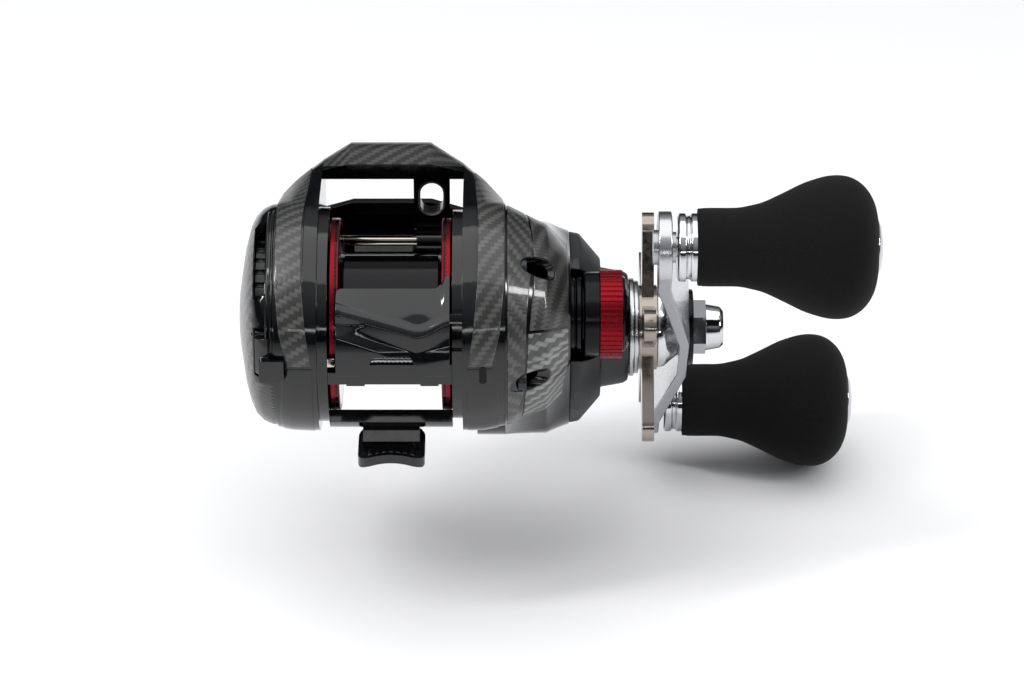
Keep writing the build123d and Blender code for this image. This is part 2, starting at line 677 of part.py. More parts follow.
def spool():
    """The spool: two flanges on a hollow arbor, with the left side cupped for the brake."""
    half = SPOOL_INNER_WIDTH / 2
    outline = [
        (-FLANGE_OUTER, ARBOR_RADIUS - ARBOR_WALL), (-FLANGE_OUTER, SPOOL_RADIUS - 0.3),
        (-FLANGE_OUTER + 0.3, SPOOL_RADIUS), (-half - 0.3, SPOOL_RADIUS), (-half, SPOOL_RADIUS - 0.4),
        (-half, ARBOR_RADIUS + 0.8), (-half + 0.8, ARBOR_RADIUS), (half - 0.8, ARBOR_RADIUS),
        (half, ARBOR_RADIUS + 0.8), (half, SPOOL_RADIUS - 0.4), (half + 0.3, SPOOL_RADIUS),
        (FLANGE_OUTER - 0.3, SPOOL_RADIUS), (FLANGE_OUTER, SPOOL_RADIUS - 0.3), (FLANGE_OUTER, 4.0),
        (8.4, 4.0), (8.4, SPOOL_SHAFT_RADIUS), (4.0, SPOOL_SHAFT_RADIUS), (4.0, 4.0), (6.6, 5.2),
        (6.6, ARBOR_RADIUS - ARBOR_WALL),
    ]
    return turned(outline)


def spool_shaft():
    """The spool's shaft, with the cross pin that the pinion drives."""
    shaft = cylinder(SHAFT_LEFT, SHAFT_RIGHT, SPOOL_SHAFT_RADIUS)
    pin = Pos(PINION_START - 0.9, 0, SPOOL_AXIS_HEIGHT) * Cylinder(0.6, 5.2)
    return shaft + pin


def brake_rotor():
    """The brake rotor on the spool's left side, with six brake shoes round it."""
    rotor = tube(-9.4, -6.0, 6.0, SPOOL_SHAFT_RADIUS) + tube(-6.0, 4.0, 3.0, SPOOL_SHAFT_RADIUS)
    for angle in range(0, 360, 60):
        shoe = slab(sector(5.6, RACE_RADIUS - 1.0 - GAP, angle - 12, angle + 12), -9.4, -6.4)
        rotor += shoe
    return rotor


def spool_bearing_right():
    end = SPOOL_BEARING_START + BEARING_WIDTH
    return ball_bearing(SPOOL_BEARING_START, end, SPOOL_BEARING_RADIUS, SPOOL_SHAFT_RADIUS + RUNNING, SPOOL)


def pinion_gear():
    """The pinion, with a drive slot on its inner end and the clutch groove on its neck."""
    gear = slab(gear_outline(PINION_TEETH, SPOOL, DRIVE_DIRECTION), PINION_START, PINION_TOOTH_END)
    gear += cylinder(PINION_TOOTH_END, PINION_END, 3.4)
    gear -= tube(GROOVE[0], GROOVE[1], 5.0, 2.5)
    gear -= cylinder(PINION_START - 1, PINION_END + 1, SPOOL_SHAFT_RADIUS + RUNNING)
    gear += tube(PINION_START - 1.6, PINION_START, 3.3, SPOOL_SHAFT_RADIUS + RUNNING)
    gear -= Pos(PINION_START - 1.0, 0, SPOOL_AXIS_HEIGHT) * Box(1.4, 1.5, 8.0)
    return gear


def clutch_yoke():
    """The yoke that lifts the pinion off the spool pin, sliding on two posts."""
    x_low = GROOVE[0] + 0.15
    x_high = GROOVE[1] - 0.15
    bar = None
    for post in YOKE_POSTS:
        ear = cylinder(x_low, x_high, 2.6, post)
        bar = ear if bar is None else bar + ear
    direction = degrees(atan2(YOKE_POSTS[0][1], YOKE_POSTS[0][0]))
    arm = Rot(0, 0, direction) * Rectangle(2 * YOKE_POST_REACH, 4.4)
    bar += slab(arm, x_low, x_high) + cylinder(x_low, x_high, 5.0)
    opening = cylinder(x_low - 1, x_high + 1, 2.5 + GAP)
    mouth = Rot(0, 0, direction) * Pos(0, 5.0) * Rectangle(2 * (2.5 + GAP), 10.0)
    bar -= opening + slab(mouth, x_low - 1, x_high + 1)
    for post in YOKE_POSTS:
        bar -= cylinder(x_low - 1, x_high + 1, YOKE_POST_RADIUS + RUNNING, post)
    return bar


def clutch_springs():
    """Two springs that push the yoke and the pinion back into drive."""
    start = GROOVE[1] - 0.15
    group = [coil_spring(start, YOKE_POST_END - 0.2, 1.6, 0.45, 3, post) for post in YOKE_POSTS]
    return Compound(children=group)


nodes["spool"] = spool
nodes["spool_shaft"] = spool_shaft
nodes["brake_rotor"] = brake_rotor
nodes["spool_bearing_right"] = spool_bearing_right
nodes["pinion_gear"] = pinion_gear
nodes["clutch_yoke"] = clutch_yoke
nodes["clutch_springs"] = clutch_springs


# ---------------------------------------------------------------- thumb bar
BAR_RIGHT = 11.7
BAR_TOP_ANGLE = 136.0
BAR_BOTTOM_ANGLE = 182.0
BAR_SKIRT_INNER = CROSSBAR_OUTER + 0.35


def thumb_bar():
    """The thumb bar: a ridged rest above, a skirt with an arch below, a horn and a lug at the right."""
    step = CROSSBAR_ANGLES[0] - THUMB_TRAVEL - 5.0
    top = polar(BAR_INNER, BAR_TOP_ANGLE)
    edges = [
        ThreePointArc(top, polar(BAR_INNER, (BAR_TOP_ANGLE + step) / 2), polar(BAR_INNER, step)),
        Line(polar(BAR_INNER, step), polar(BAR_SKIRT_INNER, step)),
        ThreePointArc(*[polar(BAR_SKIRT_INNER, a) for a in (step, (step + BAR_BOTTOM_ANGLE) / 2, BAR_BOTTOM_ANGLE)]),
        Line(polar(BAR_SKIRT_INNER, BAR_BOTTOM_ANGLE), polar(23.2, BAR_BOTTOM_ANGLE)),
        Line(polar(23.2, BAR_BOTTOM_ANGLE), polar(23.5, 169.0)),
        Line(polar(23.5, 169.0), polar(22.9, 153.8)),
        Line(polar(22.9, 153.8), top),
    ]
    bar = slab(make_face(edges), BAR_LEFT, BAR_RIGHT)
    arch_low = SPOOL_AXIS_HEIGHT - 3.0
    arch = Polyline((-5.6, arch_low), (-3.0, arch_low + 5.6), (4.0, arch_low + 5.6), (6.6, arch_low), close=True)
    arch_plane = Plane(origin=(0, -30, 0), x_dir=(1, 0, 0), z_dir=(0, -1, 0))
    bar -= extrude(arch_plane * make_face(arch), amount=-13)
    bar += slab(sector(BAR_INNER, 21.3, 127.5, BAR_TOP_ANGLE + 6), 10.0, BAR_RIGHT)
    lug = sector(*BAR_LUG, *BAR_LUG_ANGLES)
    return bar + slab(lug, BAR_RIGHT - 1, PLATE_END - 0.1)


def thumb_bar_pin():
    """The fixed pin that guides the bar's left end."""
    return cylinder(-PLATE_START - 1.4, BAR_LEFT - 0.2, GUIDE_PIN_RADIUS, polar(*GUIDE_PIN))


def thumb_bar_spring():
    """The spring that lifts the thumb bar, lying on the rear crossbar."""
    place = polar(20.1, CROSSBAR_ANGLES[0] - 1.7)
    return coil_spring(-5.0, 6.5, 0.4, 0.3, 14, place)


nodes["thumb_bar"] = thumb_bar
nodes["thumb_bar_pin"] = thumb_bar_pin
nodes["thumb_bar_spring"] = thumb_bar_spring


# ---------------------------------------------------------------- level wind
WORM_GEAR_X = (18.5, 20.1)
PAWL_RADIUS = 0.85
PAWL = (WORM[0] - WORM_TUBE_RADIUS - 0.9, WORM[1])


def guide_bar():
    return cylinder(-PLATE_START - 1.5, PLATE_START + 1.5, GUIDE_BAR_RADIUS, GUIDE_BAR)


def worm_tube():
    """The slotted tube round the worm shaft."""
    shell = tube(-PLATE_START - 1.9, PLATE_END - 0.2, WORM_TUBE_RADIUS, WORM_TUBE_BORE, WORM)
    y, z = WORM
    slot = Pos(0, y - WORM_TUBE_RADIUS, z + SPOOL_AXIS_HEIGHT) * Box(2 * RING_START - 2, 3.4, 2.2)
    return shell - slot


def worm_shaft():
    """The cross-threaded shaft, drawn with shallow ring grooves."""
    shaft = cylinder(-PLATE_START - 1.6, WORM_GEAR_X[1] + 0.3, WORM_END_RADIUS, WORM)
    shaft += cylinder(-RING_START, RING_START, WORM_RADIUS, WORM)
    for step in range(-9, 10):
        shaft -= tube(step * 1.2 - 0.35, step * 1.2 + 0.35, 4.0, WORM_RADIUS - 0.45, WORM)
    shaft += cylinder(PLATE_END - 2.4, PLATE_END + 0.3, WORM_TUBE_BORE - RUNNING, WORM)
    shaft += cylinder(-PLATE_START - 1.4, -PLATE_START, WORM_TUBE_BORE - RUNNING, WORM)
    return shaft


def worm_gear():
    direction = degrees(atan2(DRIVE[1] - WORM[1], DRIVE[0] - WORM[0]))
    phase = direction + 180.0 / LEVEL_WORM_TEETH
    gear = slab(gear_outline(LEVEL_WORM_TEETH, WORM, phase), *WORM_GEAR_X)
    return gear - cylinder(16, 22, WORM_END_RADIUS, WORM)


def level_drive_gear():
    direction = degrees(atan2(WORM[1] - DRIVE[1], WORM[0] - DRIVE[0]))
    gear = slab(gear_outline(LEVEL_DRIVE_TEETH, DRIVE, direction), *WORM_GEAR_X)
    return gear - cylinder(16, 22, DRIVE_SHAFT_RADIUS, DRIVE)


def line_guide():
    """The line guide: an upright plate with the eye's seat, on the bar and round the worm tube."""
    y, z = EYE
    top = z + EYE_HALF_HEIGHT + EYE_RIM + 1.1
    plate = polygon([(25.6, WORM[1]), (25.6, top - 1.2), (26.4, top), (28.4, top), (28.4, WORM[1])])
    guide = slab(plate, GUIDE_AT - GUIDE_WIDTH / 2, GUIDE_AT + GUIDE_WIDTH / 2)
    guide += cylinder(GUIDE_AT - 3.0, GUIDE_AT + 3.0, 2.1, GUIDE_BAR)
    guide += cylinder(GUIDE_AT - 4.0, GUIDE_AT + 4.0, WORM_TUBE_RADIUS + 1.1, WORM)
    guide -= cylinder(-20, 20, GUIDE_BAR_RADIUS + RUNNING, GUIDE_BAR)
    guide -= cylinder(-20, 20, WORM_TUBE_RADIUS + RUNNING, WORM)
    seat = SlotCenterToCenter(2 * (EYE_HALF_HEIGHT - EYE_HALF_WIDTH), 2 * (EYE_HALF_WIDTH + EYE_RIM))
    front = Plane(origin=(GUIDE_AT, 20, z + SPOOL_AXIS_HEIGHT), x_dir=(0, 0, 1), z_dir=(0, 1, 0))
    guide -= extrude(front * seat, amount=20)
    y, z = PAWL
    guide -= cylinder(GUIDE_AT - 0.8, GUIDE_AT + 0.8, PAWL_RADIUS, PAWL)
    return guide - Pos(GUIDE_AT, y + 0.8, z + SPOOL_AXIS_HEIGHT) * Box(1.2, 1.6, 1.6)


def eyelet():
    """The hard ring insert of the line guide."""
    y, z = EYE
    straight = 2 * (EYE_HALF_HEIGHT - EYE_HALF_WIDTH)
    outer = SlotCenterToCenter(straight, 2 * (EYE_HALF_WIDTH + EYE_RIM))
    hole = SlotCenterToCenter(straight, 2 * EYE_HALF_WIDTH)
    plane = Plane(origin=(GUIDE_AT, y - 1.75, z + SPOOL_AXIS_HEIGHT), x_dir=(0, 0, 1), z_dir=(0, 1, 0))
    ring = extrude(plane * (outer - hole), amount=3.5)
    return ring


def pawl():
    """The pawl that follows the worm through the tube's slot."""
    y, z = PAWL
    stem = cylinder(GUIDE_AT - 0.8, GUIDE_AT + 0.8, PAWL_RADIUS, PAWL)
    return stem + Pos(GUIDE_AT, y + 0.8, z + SPOOL_AXIS_HEIGHT) * Box(1.2, 1.6, 1.6)


nodes["guide_bar"] = guide_bar
nodes["worm_tube"] = worm_tube
nodes["worm_shaft"] = worm_shaft
nodes["worm_gear"] = worm_gear
nodes["level_drive_gear"] = level_drive_gear
nodes["line_guide"] = line_guide
nodes["eyelet"] = eyelet
nodes["pawl"] = pawl


# ---------------------------------------------------------------- drive train and drag
MAIN_GEAR_X = (20.7, 23.9)
DRAG_RADIUS = 12.0


def drive_shaft():
    """The drive shaft, from its bearing in the frame to the handle nut."""
    shaft = cylinder(PLATE_START + 0.6, 62.0, DRIVE_SHAFT_RADIUS, DRIVE)
    return shaft + cylinder(WORM_GEAR_X[1], MAIN_GEAR_X[0], 7.0, DRIVE)


def drive_bearings():
    """The drive shaft's two ball bearings, in the frame and in the boss."""
    bore = DRIVE_SHAFT_RADIUS + RUNNING
    group = [
        ball_bearing(PLATE_START + 0.4, PLATE_END - 0.1, DRIVE_BEARING_RADIUS, bore, DRIVE),
        ball_bearing(38.9, 40.4, ROLLER_RADIUS, bore, DRIVE),
    ]
    return Compound(children=group)


def main_gear():
    """The main gear, recessed on its outer face for the drag washers."""
    phase = DRIVE_DIRECTION + 180.0 + 180.0 / MAIN_TEETH
    gear = slab(gear_outline(MAIN_TEETH, DRIVE, phase), *MAIN_GEAR_X)
    gear -= cylinder(MAIN_GEAR_X[0] + 1.2, MAIN_GEAR_X[1] + 1, DRAG_RADIUS + 0.4, DRIVE)
    gear -= cylinder(MAIN_GEAR_X[0] - 1, MAIN_GEAR_X[1], DRIVE_SHAFT_RADIUS, DRIVE)
    return gear


def washer(start, thickness, radius, bore=DRIVE_SHAFT_RADIUS):
    return tube(start, start + thickness, radius, bore, DRIVE)


def drag_washers():
    """Two carbon-fibre drag washers."""
    group = [washer(MAIN_GEAR_X[0] + start, 0.9, DRAG_RADIUS) for start in (1.2, 2.9)]
    return Compound(children=group)


def drag_plates():
    """The steel plate between the drag washers and the thicker one that presses on them."""
    group = [
        washer(MAIN_GEAR_X[0] + 2.1, 0.8, DRAG_RADIUS - 0.2),
        washer(MAIN_GEAR_X[0] + 3.8, 1.2, DRAG_RADIUS - 0.6),
    ]
    return Compound(children=group)


def roller_sleeve():
    """The inner sleeve of the one-way bearing, which also presses on the drag."""
    return washer(MAIN_GEAR_X[0] + 5.0, 38.6 - MAIN_GEAR_X[0] - 5.0, 4.2)


def one_way_bearing():
    """The roller bearing that stops the handle turning back."""
    return tube(30.4, 38.6, ROLLER_RADIUS, 4.2 + RUNNING, DRIVE)


def spring_washers():
    """Two dished washers behind the star drag."""
    group = [
        washer(HOUSING_END + 0.2, 0.95, 9.9, DRIVE_SHAFT_RADIUS + RUNNING),
        washer(HOUSING_END + 1.15, 0.9, 9.4, DRIVE_SHAFT_RADIUS + RUNNING),
    ]
    return Compound(children=group)


def star_drag():
    """The five-armed star that sets the drag."""
    hub = cylinder(STAR_START + 0.1, STAR_START + STAR_THICKNESS, 8.6, DRIVE)
    star = hub
    for k in range(STAR_ARMS):
        angle = STAR_ANGLE + k * 360 / STAR_ARMS
        tip = polar(STAR_RADIUS - 3.3, angle, DRIVE)
        arm = belt([
            (DRIVE[0], DRIVE[1], 4.6),
            (tip[0], tip[1], 3.3),
        ])
        star += slab(arm, STAR_START + 0.6, STAR_START + STAR_THICKNESS - 0.7)
    star -= cylinder(STAR_START - 1, STAR_START + STAR_THICKNESS + 1, DRIVE_SHAFT_RADIUS + RUNNING, DRIVE)
    return star


def dome_washer():
    """The domed cup between the star drag and the handle."""
    start = STAR_START + STAR_THICKNESS + 0.1
    return turned([
        (start, DRIVE_SHAFT_RADIUS), (start, 8.2), (start + 1.4, 7.9), (start + 2.6, 6.8),
        (HUB_START, 5.6), (HUB_START, DRIVE_SHAFT_RADIUS),
    ], DRIVE)


# ---------------------------------------------------------------- handle
HUB_START = 57.2
HUB_END = 59.2
TIP_START = 51.9
TIP_END = 54.6
TIP_RADIUS = 7.0


def along_handle(solid):
    """Turns a piece drawn with its arm along Y about the X axis into the handle's place."""
    return Pos(0, DRIVE[0], DRIVE[1] + SPOOL_AXIS_HEIGHT) * Rot(HANDLE_ANGLE, 0, 0) * solid


def handle_arm():
    """The swept handle arm, drawn along Y and then turned to its rest angle."""
    reach = HANDLE_LENGTH / 2
    side = Polyline(
        (HUB_START, 0), (HUB_START, 8), (TIP_START + 0.6, reach - 9), (TIP_START, reach - 6), (TIP_START, reach + 9),
        (TIP_END, reach + 9), (TIP_END, reach - 5), (HUB_END, 9), (HUB_END, 0), close=True,
    )
    half = extrude(make_face(side), amount=12, both=True)
    arm = half + mirror(half, Plane.XZ)
    plan = make_face(belt_wire([(0, 0, 7.6), (reach, 0, TIP_RADIUS)]))
    plan += make_face(belt_wire([(0, 0, 7.6), (-reach, 0, TIP_RADIUS)]))
    blank = extrude(Plane(origin=(40, 0, 0), x_dir=(0, 1, 0), z_dir=(1, 0, 0)) * plan, amount=30)
    arm &= blank
    arm -= Pos(50, 0, 0) * Rot(0, 90, 0) * Cylinder(DRIVE_SHAFT_RADIUS, 40)
    for side_sign in (1, -1):
        arm -= Pos(50, side_sign * reach, 0) * Rot(0, 90, 0) * Cylinder(KNOB_POST_RADIUS, 40)
    return along_handle(arm)


def nut_disc():
    return turned([(HUB_END, DRIVE_SHAFT_RADIUS), (HUB_END, 7.8), (60.2, 7.6), (60.2, DRIVE_SHAFT_RADIUS)], DRIVE)


def handle_nut():
    """The handle nut: a hexagon with a tapered round end."""
    hexagon = make_face(Polyline(*[polar(5.5, HANDLE_ANGLE + 60 * k, DRIVE) for k in range(6)], close=True))
    nut = slab(hexagon, 60.2, 62.8)
    nut += turned([(62.8, 0), (62.8, 4.7), (65.6, 4.2), (66.3, 3.6), (66.3, 0)], DRIVE)
    return nut - cylinder(60.2, 62.0, DRIVE_SHAFT_RADIUS, DRIVE)


def knob_posts():
    """The riveted posts on which the knobs turn."""
    group = []
    for at in (KNOB_UPPER, KNOB_LOWER):
        post = cylinder(TIP_START - 0.6, 86.0, KNOB_POST_RADIUS, at)
        post += cylinder(TIP_START - 0.9, TIP_START, 3.4, at)
        group.append(post + cylinder(TIP_END, KNOB_FERRULE_START - 0.2, 3.0, at))
    return Compound(children=group)


def knob_ferrule(at):
    """The metal collar at the knob's neck, with a turned groove."""
    start = KNOB_FERRULE_START
    end = KNOB_GRIP_START
    return turned([
        (start, KNOB_POST_RADIUS + RUNNING), (start, KNOB_FERRULE_RADIUS - 0.5), (start + 0.4, KNOB_FERRULE_RADIUS),
        (start + 1.6, KNOB_FERRULE_RADIUS), (start + 1.9, KNOB_FERRULE_RADIUS - 0.5),
        (end - 1.6, KNOB_FERRULE_RADIUS - 0.5), (end - 1.2, KNOB_FERRULE_RADIUS), (end, KNOB_FERRULE_RADIUS),
        (end, KNOB_POST_RADIUS + RUNNING),
    ], at)


KNOB_PROFILE = ((0.0, 7.45), (0.8, KNOB_NECK_RADIUS), (8.0, KNOB_NECK_RADIUS), (12.5, 8.6), (16.5, 10.5),
                (20.5, 12.5), (24.5, 13.75), (27.2, KNOB_RADIUS), (29.6, 13.6), (31.6, 12.4), (33.2, 10.6),
                (34.3, 8.2), (34.6, 6.4))


def knob_grip(at):
    """The foam knob: a straight neck that swells to a round end, bored for its bearings."""
    points = [(KNOB_GRIP_START + x, r) for x, r in KNOB_PROFILE]
    neck = Polyline(*points[0:3])
    swell = Spline(*points[2:], tangents=((1, 0.1), (0.15, -1)))
    close_up = Polyline(points[-1], (points[-1][0], 0), (KNOB_GRIP_START, 0), points[0])
    outline = make_face([neck, swell, close_up])
    solid = Pos(0, at[0], SPOOL_AXIS_HEIGHT + at[1]) * revolve(outline, axis=Axis.X)
    solid -= cylinder(KNOB_GRIP_START - 1, 87.0, 3.6, at)
    return solid - cylinder(KNOB_GRIP_END - 1.6, KNOB_GRIP_END + 2, KNOB_CAP_RADIUS, at)


def knob_bearings():
    """Two small bearings on each knob post, with running room inside the grip."""
    group = []
    for at in (KNOB_UPPER, KNOB_LOWER):
        for start in (60.4, 83.0):
            group.append(ball_bearing(start, start + 2.0, 3.6 - RUNNING, KNOB_POST_RADIUS, at))
    return Compound(children=group)


def knob_cap(at):
    """The shallow metal cap in the knob's end."""
    start = KNOB_GRIP_END - 1.6
    return turned([
        (start, 0), (start, KNOB_CAP_RADIUS), (KNOB_GRIP_END + 0.2, KNOB_CAP_RADIUS),
        (KNOB_GRIP_END + 0.8, KNOB_CAP_RADIUS - 1.2), (KNOB_GRIP_END + 1.1, 2.0), (KNOB_GRIP_END + 1.1, 0),
    ], at)


nodes["drive_shaft"] = drive_shaft
nodes["drive_bearings"] = drive_bearings
nodes["main_gear"] = main_gear
nodes["drag_washers"] = drag_washers
nodes["drag_plates"] = drag_plates
nodes["roller_sleeve"] = roller_sleeve
nodes["one_way_bearing"] = one_way_bearing
nodes["spring_washers"] = spring_washers
nodes["star_drag"] = star_drag
nodes["dome_washer"] = dome_washer
nodes["handle_arm"] = handle_arm
nodes["nut_disc"] = nut_disc
nodes["handle_nut"] = handle_nut
nodes["knob_posts"] = knob_posts
nodes["knob_bearings"] = knob_bearings
for place_name, knob_at in (("upper", KNOB_UPPER), ("lower", KNOB_LOWER)):
    nodes["knob_ferrule_" + place_name] = lambda at=knob_at: knob_ferrule(at)
    nodes["knob_grip_" + place_name] = lambda at=knob_at: knob_grip(at)
    nodes["knob_cap_" + place_name] = lambda at=knob_at: knob_cap(at)


# ---------------------------------------------------------------- cast control
def cast_collar():
    """The threaded collar on the cover, with two turned rings."""
    collar = turned([
        (30.2, 0), (30.2, 4.2), (GEAR_CASE_OUTER, 4.2), (GEAR_CASE_OUTER, CAST_COLLAR_RADIUS),
        (36.0, CAST_COLLAR_RADIUS), (36.2, CAST_COLLAR_RADIUS - 0.4), (36.5, CAST_COLLAR_RADIUS),
        (37.4, CAST_COLLAR_RADIUS), (37.6, CAST_COLLAR_RADIUS - 0.4), (37.6, 5.6), (42.0, 5.6), (42.0, 0),
    ])
    collar -= cylinder(30, 37.0, SPOOL_SHAFT_RADIUS + RUNNING)
    return collar - cylinder(30, PINION_END + CLUTCH_TRAVEL + GAP, PINION_CLEAR)


PINION_CLEAR = 3.4 + GAP


def cast_cap():
    """The cast control cap: a dark body with a raised thin ring and a tapered end."""
    return turned([
        (37.9, 5.65), (37.9, 8.1), (38.2, 8.4), (41.1, 8.4), (41.1, 7.6), (45.5, 7.6), (46.0, 7.4), (46.8, 6.0),
        (46.8, 0), (42.3, 0), (42.3, 5.65),
    ])


def cast_grip_ring():
    """The knurled ring pressed on the cast control cap."""
    ring = tube(41.15, 45.5, 8.8, 7.6)
    for k in range(48):
        at = polar(8.85, k * 7.5)
        ring -= cylinder(41.0, 46.0, 0.22, at)
    return ring


nodes["cast_collar"] = cast_collar
nodes["cast_cap"] = cast_cap
nodes["cast_grip_ring"] = cast_grip_ring


if __name__ == "__main__":
    os.makedirs("parts", exist_ok=True)
    for name, make in nodes.items():
        solid = make()
        solid.label = name
        export_step(solid, os.path.join("parts", name + ".step"))
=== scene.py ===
"""Looks for a low-profile baitcasting reel: shells, carbon covers, knobs and small parts around its frame."""

from __future__ import annotations

import json
import logging
import math
from dataclasses import dataclass, field
from enum import Enum
from typing import Any, Callable, Sequence

import bmesh
import bpy
import numpy as np
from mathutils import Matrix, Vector
from mathutils.bvhtree import BVHTree

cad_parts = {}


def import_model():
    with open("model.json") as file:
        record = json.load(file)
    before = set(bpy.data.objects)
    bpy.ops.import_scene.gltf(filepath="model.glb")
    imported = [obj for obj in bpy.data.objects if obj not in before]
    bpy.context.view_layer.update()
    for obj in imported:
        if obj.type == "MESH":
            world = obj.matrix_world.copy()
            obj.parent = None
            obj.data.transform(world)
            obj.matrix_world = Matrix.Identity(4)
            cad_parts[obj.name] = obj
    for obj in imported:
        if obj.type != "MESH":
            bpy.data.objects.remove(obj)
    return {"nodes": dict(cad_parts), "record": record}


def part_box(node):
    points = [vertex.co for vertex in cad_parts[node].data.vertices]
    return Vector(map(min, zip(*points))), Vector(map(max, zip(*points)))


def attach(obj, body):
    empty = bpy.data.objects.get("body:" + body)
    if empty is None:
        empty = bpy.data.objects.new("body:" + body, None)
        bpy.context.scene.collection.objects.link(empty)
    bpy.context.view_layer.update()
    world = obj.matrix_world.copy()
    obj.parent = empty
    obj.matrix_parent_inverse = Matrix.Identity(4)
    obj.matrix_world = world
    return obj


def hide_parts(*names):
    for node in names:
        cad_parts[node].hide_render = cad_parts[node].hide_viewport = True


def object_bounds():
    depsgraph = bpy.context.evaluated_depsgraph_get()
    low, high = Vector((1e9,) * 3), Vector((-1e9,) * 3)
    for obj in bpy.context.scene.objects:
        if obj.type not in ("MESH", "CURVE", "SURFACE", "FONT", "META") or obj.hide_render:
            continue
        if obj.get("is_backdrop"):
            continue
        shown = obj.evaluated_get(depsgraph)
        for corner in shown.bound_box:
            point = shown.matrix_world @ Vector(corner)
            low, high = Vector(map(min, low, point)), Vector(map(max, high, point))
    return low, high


LOG = logging.getLogger("reel")
MM = 0.001

Point = tuple[float, float]
Section = Sequence[Point]


# ---------------------------------------------------------------- colour and node helpers
def linear(hex_colour: str) -> tuple[float, float, float, float]:
    """Turns an sRGB hex colour into linear values.

    Args:
        hex_colour: six hex digits with a leading hash.

    Returns:
        Red, green, blue and an alpha of 1.
    """
    values = [int(hex_colour[i:i + 2], 16) / 255 for i in (1, 3, 5)]
    red, green, blue = (v / 12.92 if v <= 0.04045 else ((v + 0.055) / 1.055) ** 2.4 for v in values)
    return red, green, blue, 1.0


def add_node(tree: bpy.types.NodeTree, kind: str, settings: dict[str, Any] | None = None,
             inputs: dict[Any, Any] | None = None) -> bpy.types.Node:
    """Adds a node, sets its properties, and sets or links its inputs.

    Args:
        tree: the node tree.
        kind: the node's type name, without the ShaderNode prefix.
        settings: attribute names and their values.
        inputs: input names or numbers, each with a value or an output socket to link.

    Returns:
        The new node.
    """
    node = tree.nodes.new("ShaderNode" + kind)
    for name, value in (settings or {}).items():
        setattr(node, name, value)
    for key, value in (inputs or {}).items():
        if isinstance(value, bpy.types.NodeSocket):
            tree.links.new(value, node.inputs[key])
        else:
            node.inputs[key].default_value = value
    return node


def calculate(tree: bpy.types.NodeTree, operation: str, first: Any,
              second: Any = 0.0) -> bpy.types.NodeSocket:
    """Adds one arithmetic step and returns its result socket."""
    return add_node(tree, "Math", {"operation": operation}, {0: first, 1: second}).outputs[0]


class Space(Enum):
    """Where a pattern's coordinates come from."""

    OBJECT = "Object"
    SURFACE = "UV"


def coordinates(tree: bpy.types.NodeTree, space: Space, per_mm: float) -> bpy.types.NodeSocket:
    """Gives pattern coordinates that count in steps of a real size.

    Args:
        tree: the node tree.
        space: object space, in metres, or the surface's own map, in millimetres.
        per_mm: pattern steps in one millimetre.

    Returns:
        A vector socket.
    """
    source = add_node(tree, "TexCoord").outputs[space.value]
    scale = per_mm / MM if space is Space.OBJECT else per_mm
    return add_node(tree, "VectorMath", {"operation": "SCALE"}, {0: source, "Scale": scale}).outputs[0]


@dataclass(frozen=True)
class Finish:
    """A finish: one shader with even values, and an optional pattern."""

    name: str
    colour: str
    metallic: float = 0.0
    roughness: float = 0.4
    ior: float = 1.5
    coat: float = 0.0
    coat_roughness: float = 0.03
    sheen: float = 0.0
    anisotropy: float = 0.0

    def material(self) -> bpy.types.Material:
        """Builds the material, or returns the one already built.

        Returns:
            The finished material.
        """
        known = bpy.data.materials.get(self.name)
        if known:
            return known
        made = bpy.data.materials.new(self.name)
        made.use_nodes = True
        tree = made.node_tree
        shader = tree.nodes["Principled BSDF"]
        values = {"Base Color": linear(self.colour), "Metallic": self.metallic, "Roughness": self.roughness,
                  "Coat Weight": self.coat, "Coat Roughness": self.coat_roughness,
                  "Sheen Weight": self.sheen, "Anisotropic": self.anisotropy}
        if not self.metallic:
            values["IOR"] = self.ior
        for socket, value in values.items():
            shader.inputs[socket].default_value = value
        self.pattern(tree, shader)
        return made

    def pattern(self, tree: bpy.types.NodeTree, shader: bpy.types.Node) -> None:
        """Adds what the surface shows beyond its even values.

        Args:
            tree: the material's node tree.
            shader: the shader that the pattern feeds.
        """


@dataclass(frozen=True)
class GrainFinish(Finish):
    """A finish with a fine grain: sprayed paint, moulded plastic, bead-blasted or drawn metal."""

    space: Space = Space.OBJECT
    grain_mm: float = 0.15
    bump_mm: float = 0.01
    spread: float = 0.1
    stretch: tuple[float, float, float] = (1.0, 1.0, 1.0)
    tint: str = ""
    tint_share: float = 0.0

    def pattern(self, tree: bpy.types.NodeTree, shader: bpy.types.Node) -> None:
        """Varies roughness, colour and height with noise at the grain's real size.

        Args:
            tree: the material's node tree.
            shader: the shader that the pattern feeds.
        """
        place = coordinates(tree, self.space, 1.0 / self.grain_mm)
        shaped = add_node(tree, "VectorMath", {"operation": "MULTIPLY"},
                          {0: place, 1: self.stretch}).outputs[0]
        noise = add_node(tree, "TexNoise", {}, {"Vector": shaped, "Scale": 1.0, "Detail": 3.0,
                                                "Roughness": 0.6})
        rough = add_node(tree, "MapRange", {}, {
            "Value": noise.outputs["Fac"], "From Min": 0.3, "From Max": 0.7,
            "To Min": max(0.02, self.roughness - self.spread), "To Max": self.roughness + self.spread})
        tree.links.new(rough.outputs[0], shader.inputs["Roughness"])
        bump = add_node(tree, "Bump", {}, {
            "Height": noise.outputs["Fac"], "Distance": self.bump_mm * MM, "Strength": 1.0})
        tree.links.new(bump.outputs[0], shader.inputs["Normal"])
        if self.tint:
            share = calculate(tree, "MULTIPLY", noise.outputs["Fac"], self.tint_share)
            mixed = add_node(tree, "Mix", {"data_type": "RGBA"}, {
                0: share, 6: linear(self.colour), 7: linear(self.tint)}).outputs[2]
            tree.links.new(mixed, shader.inputs["Base Color"])


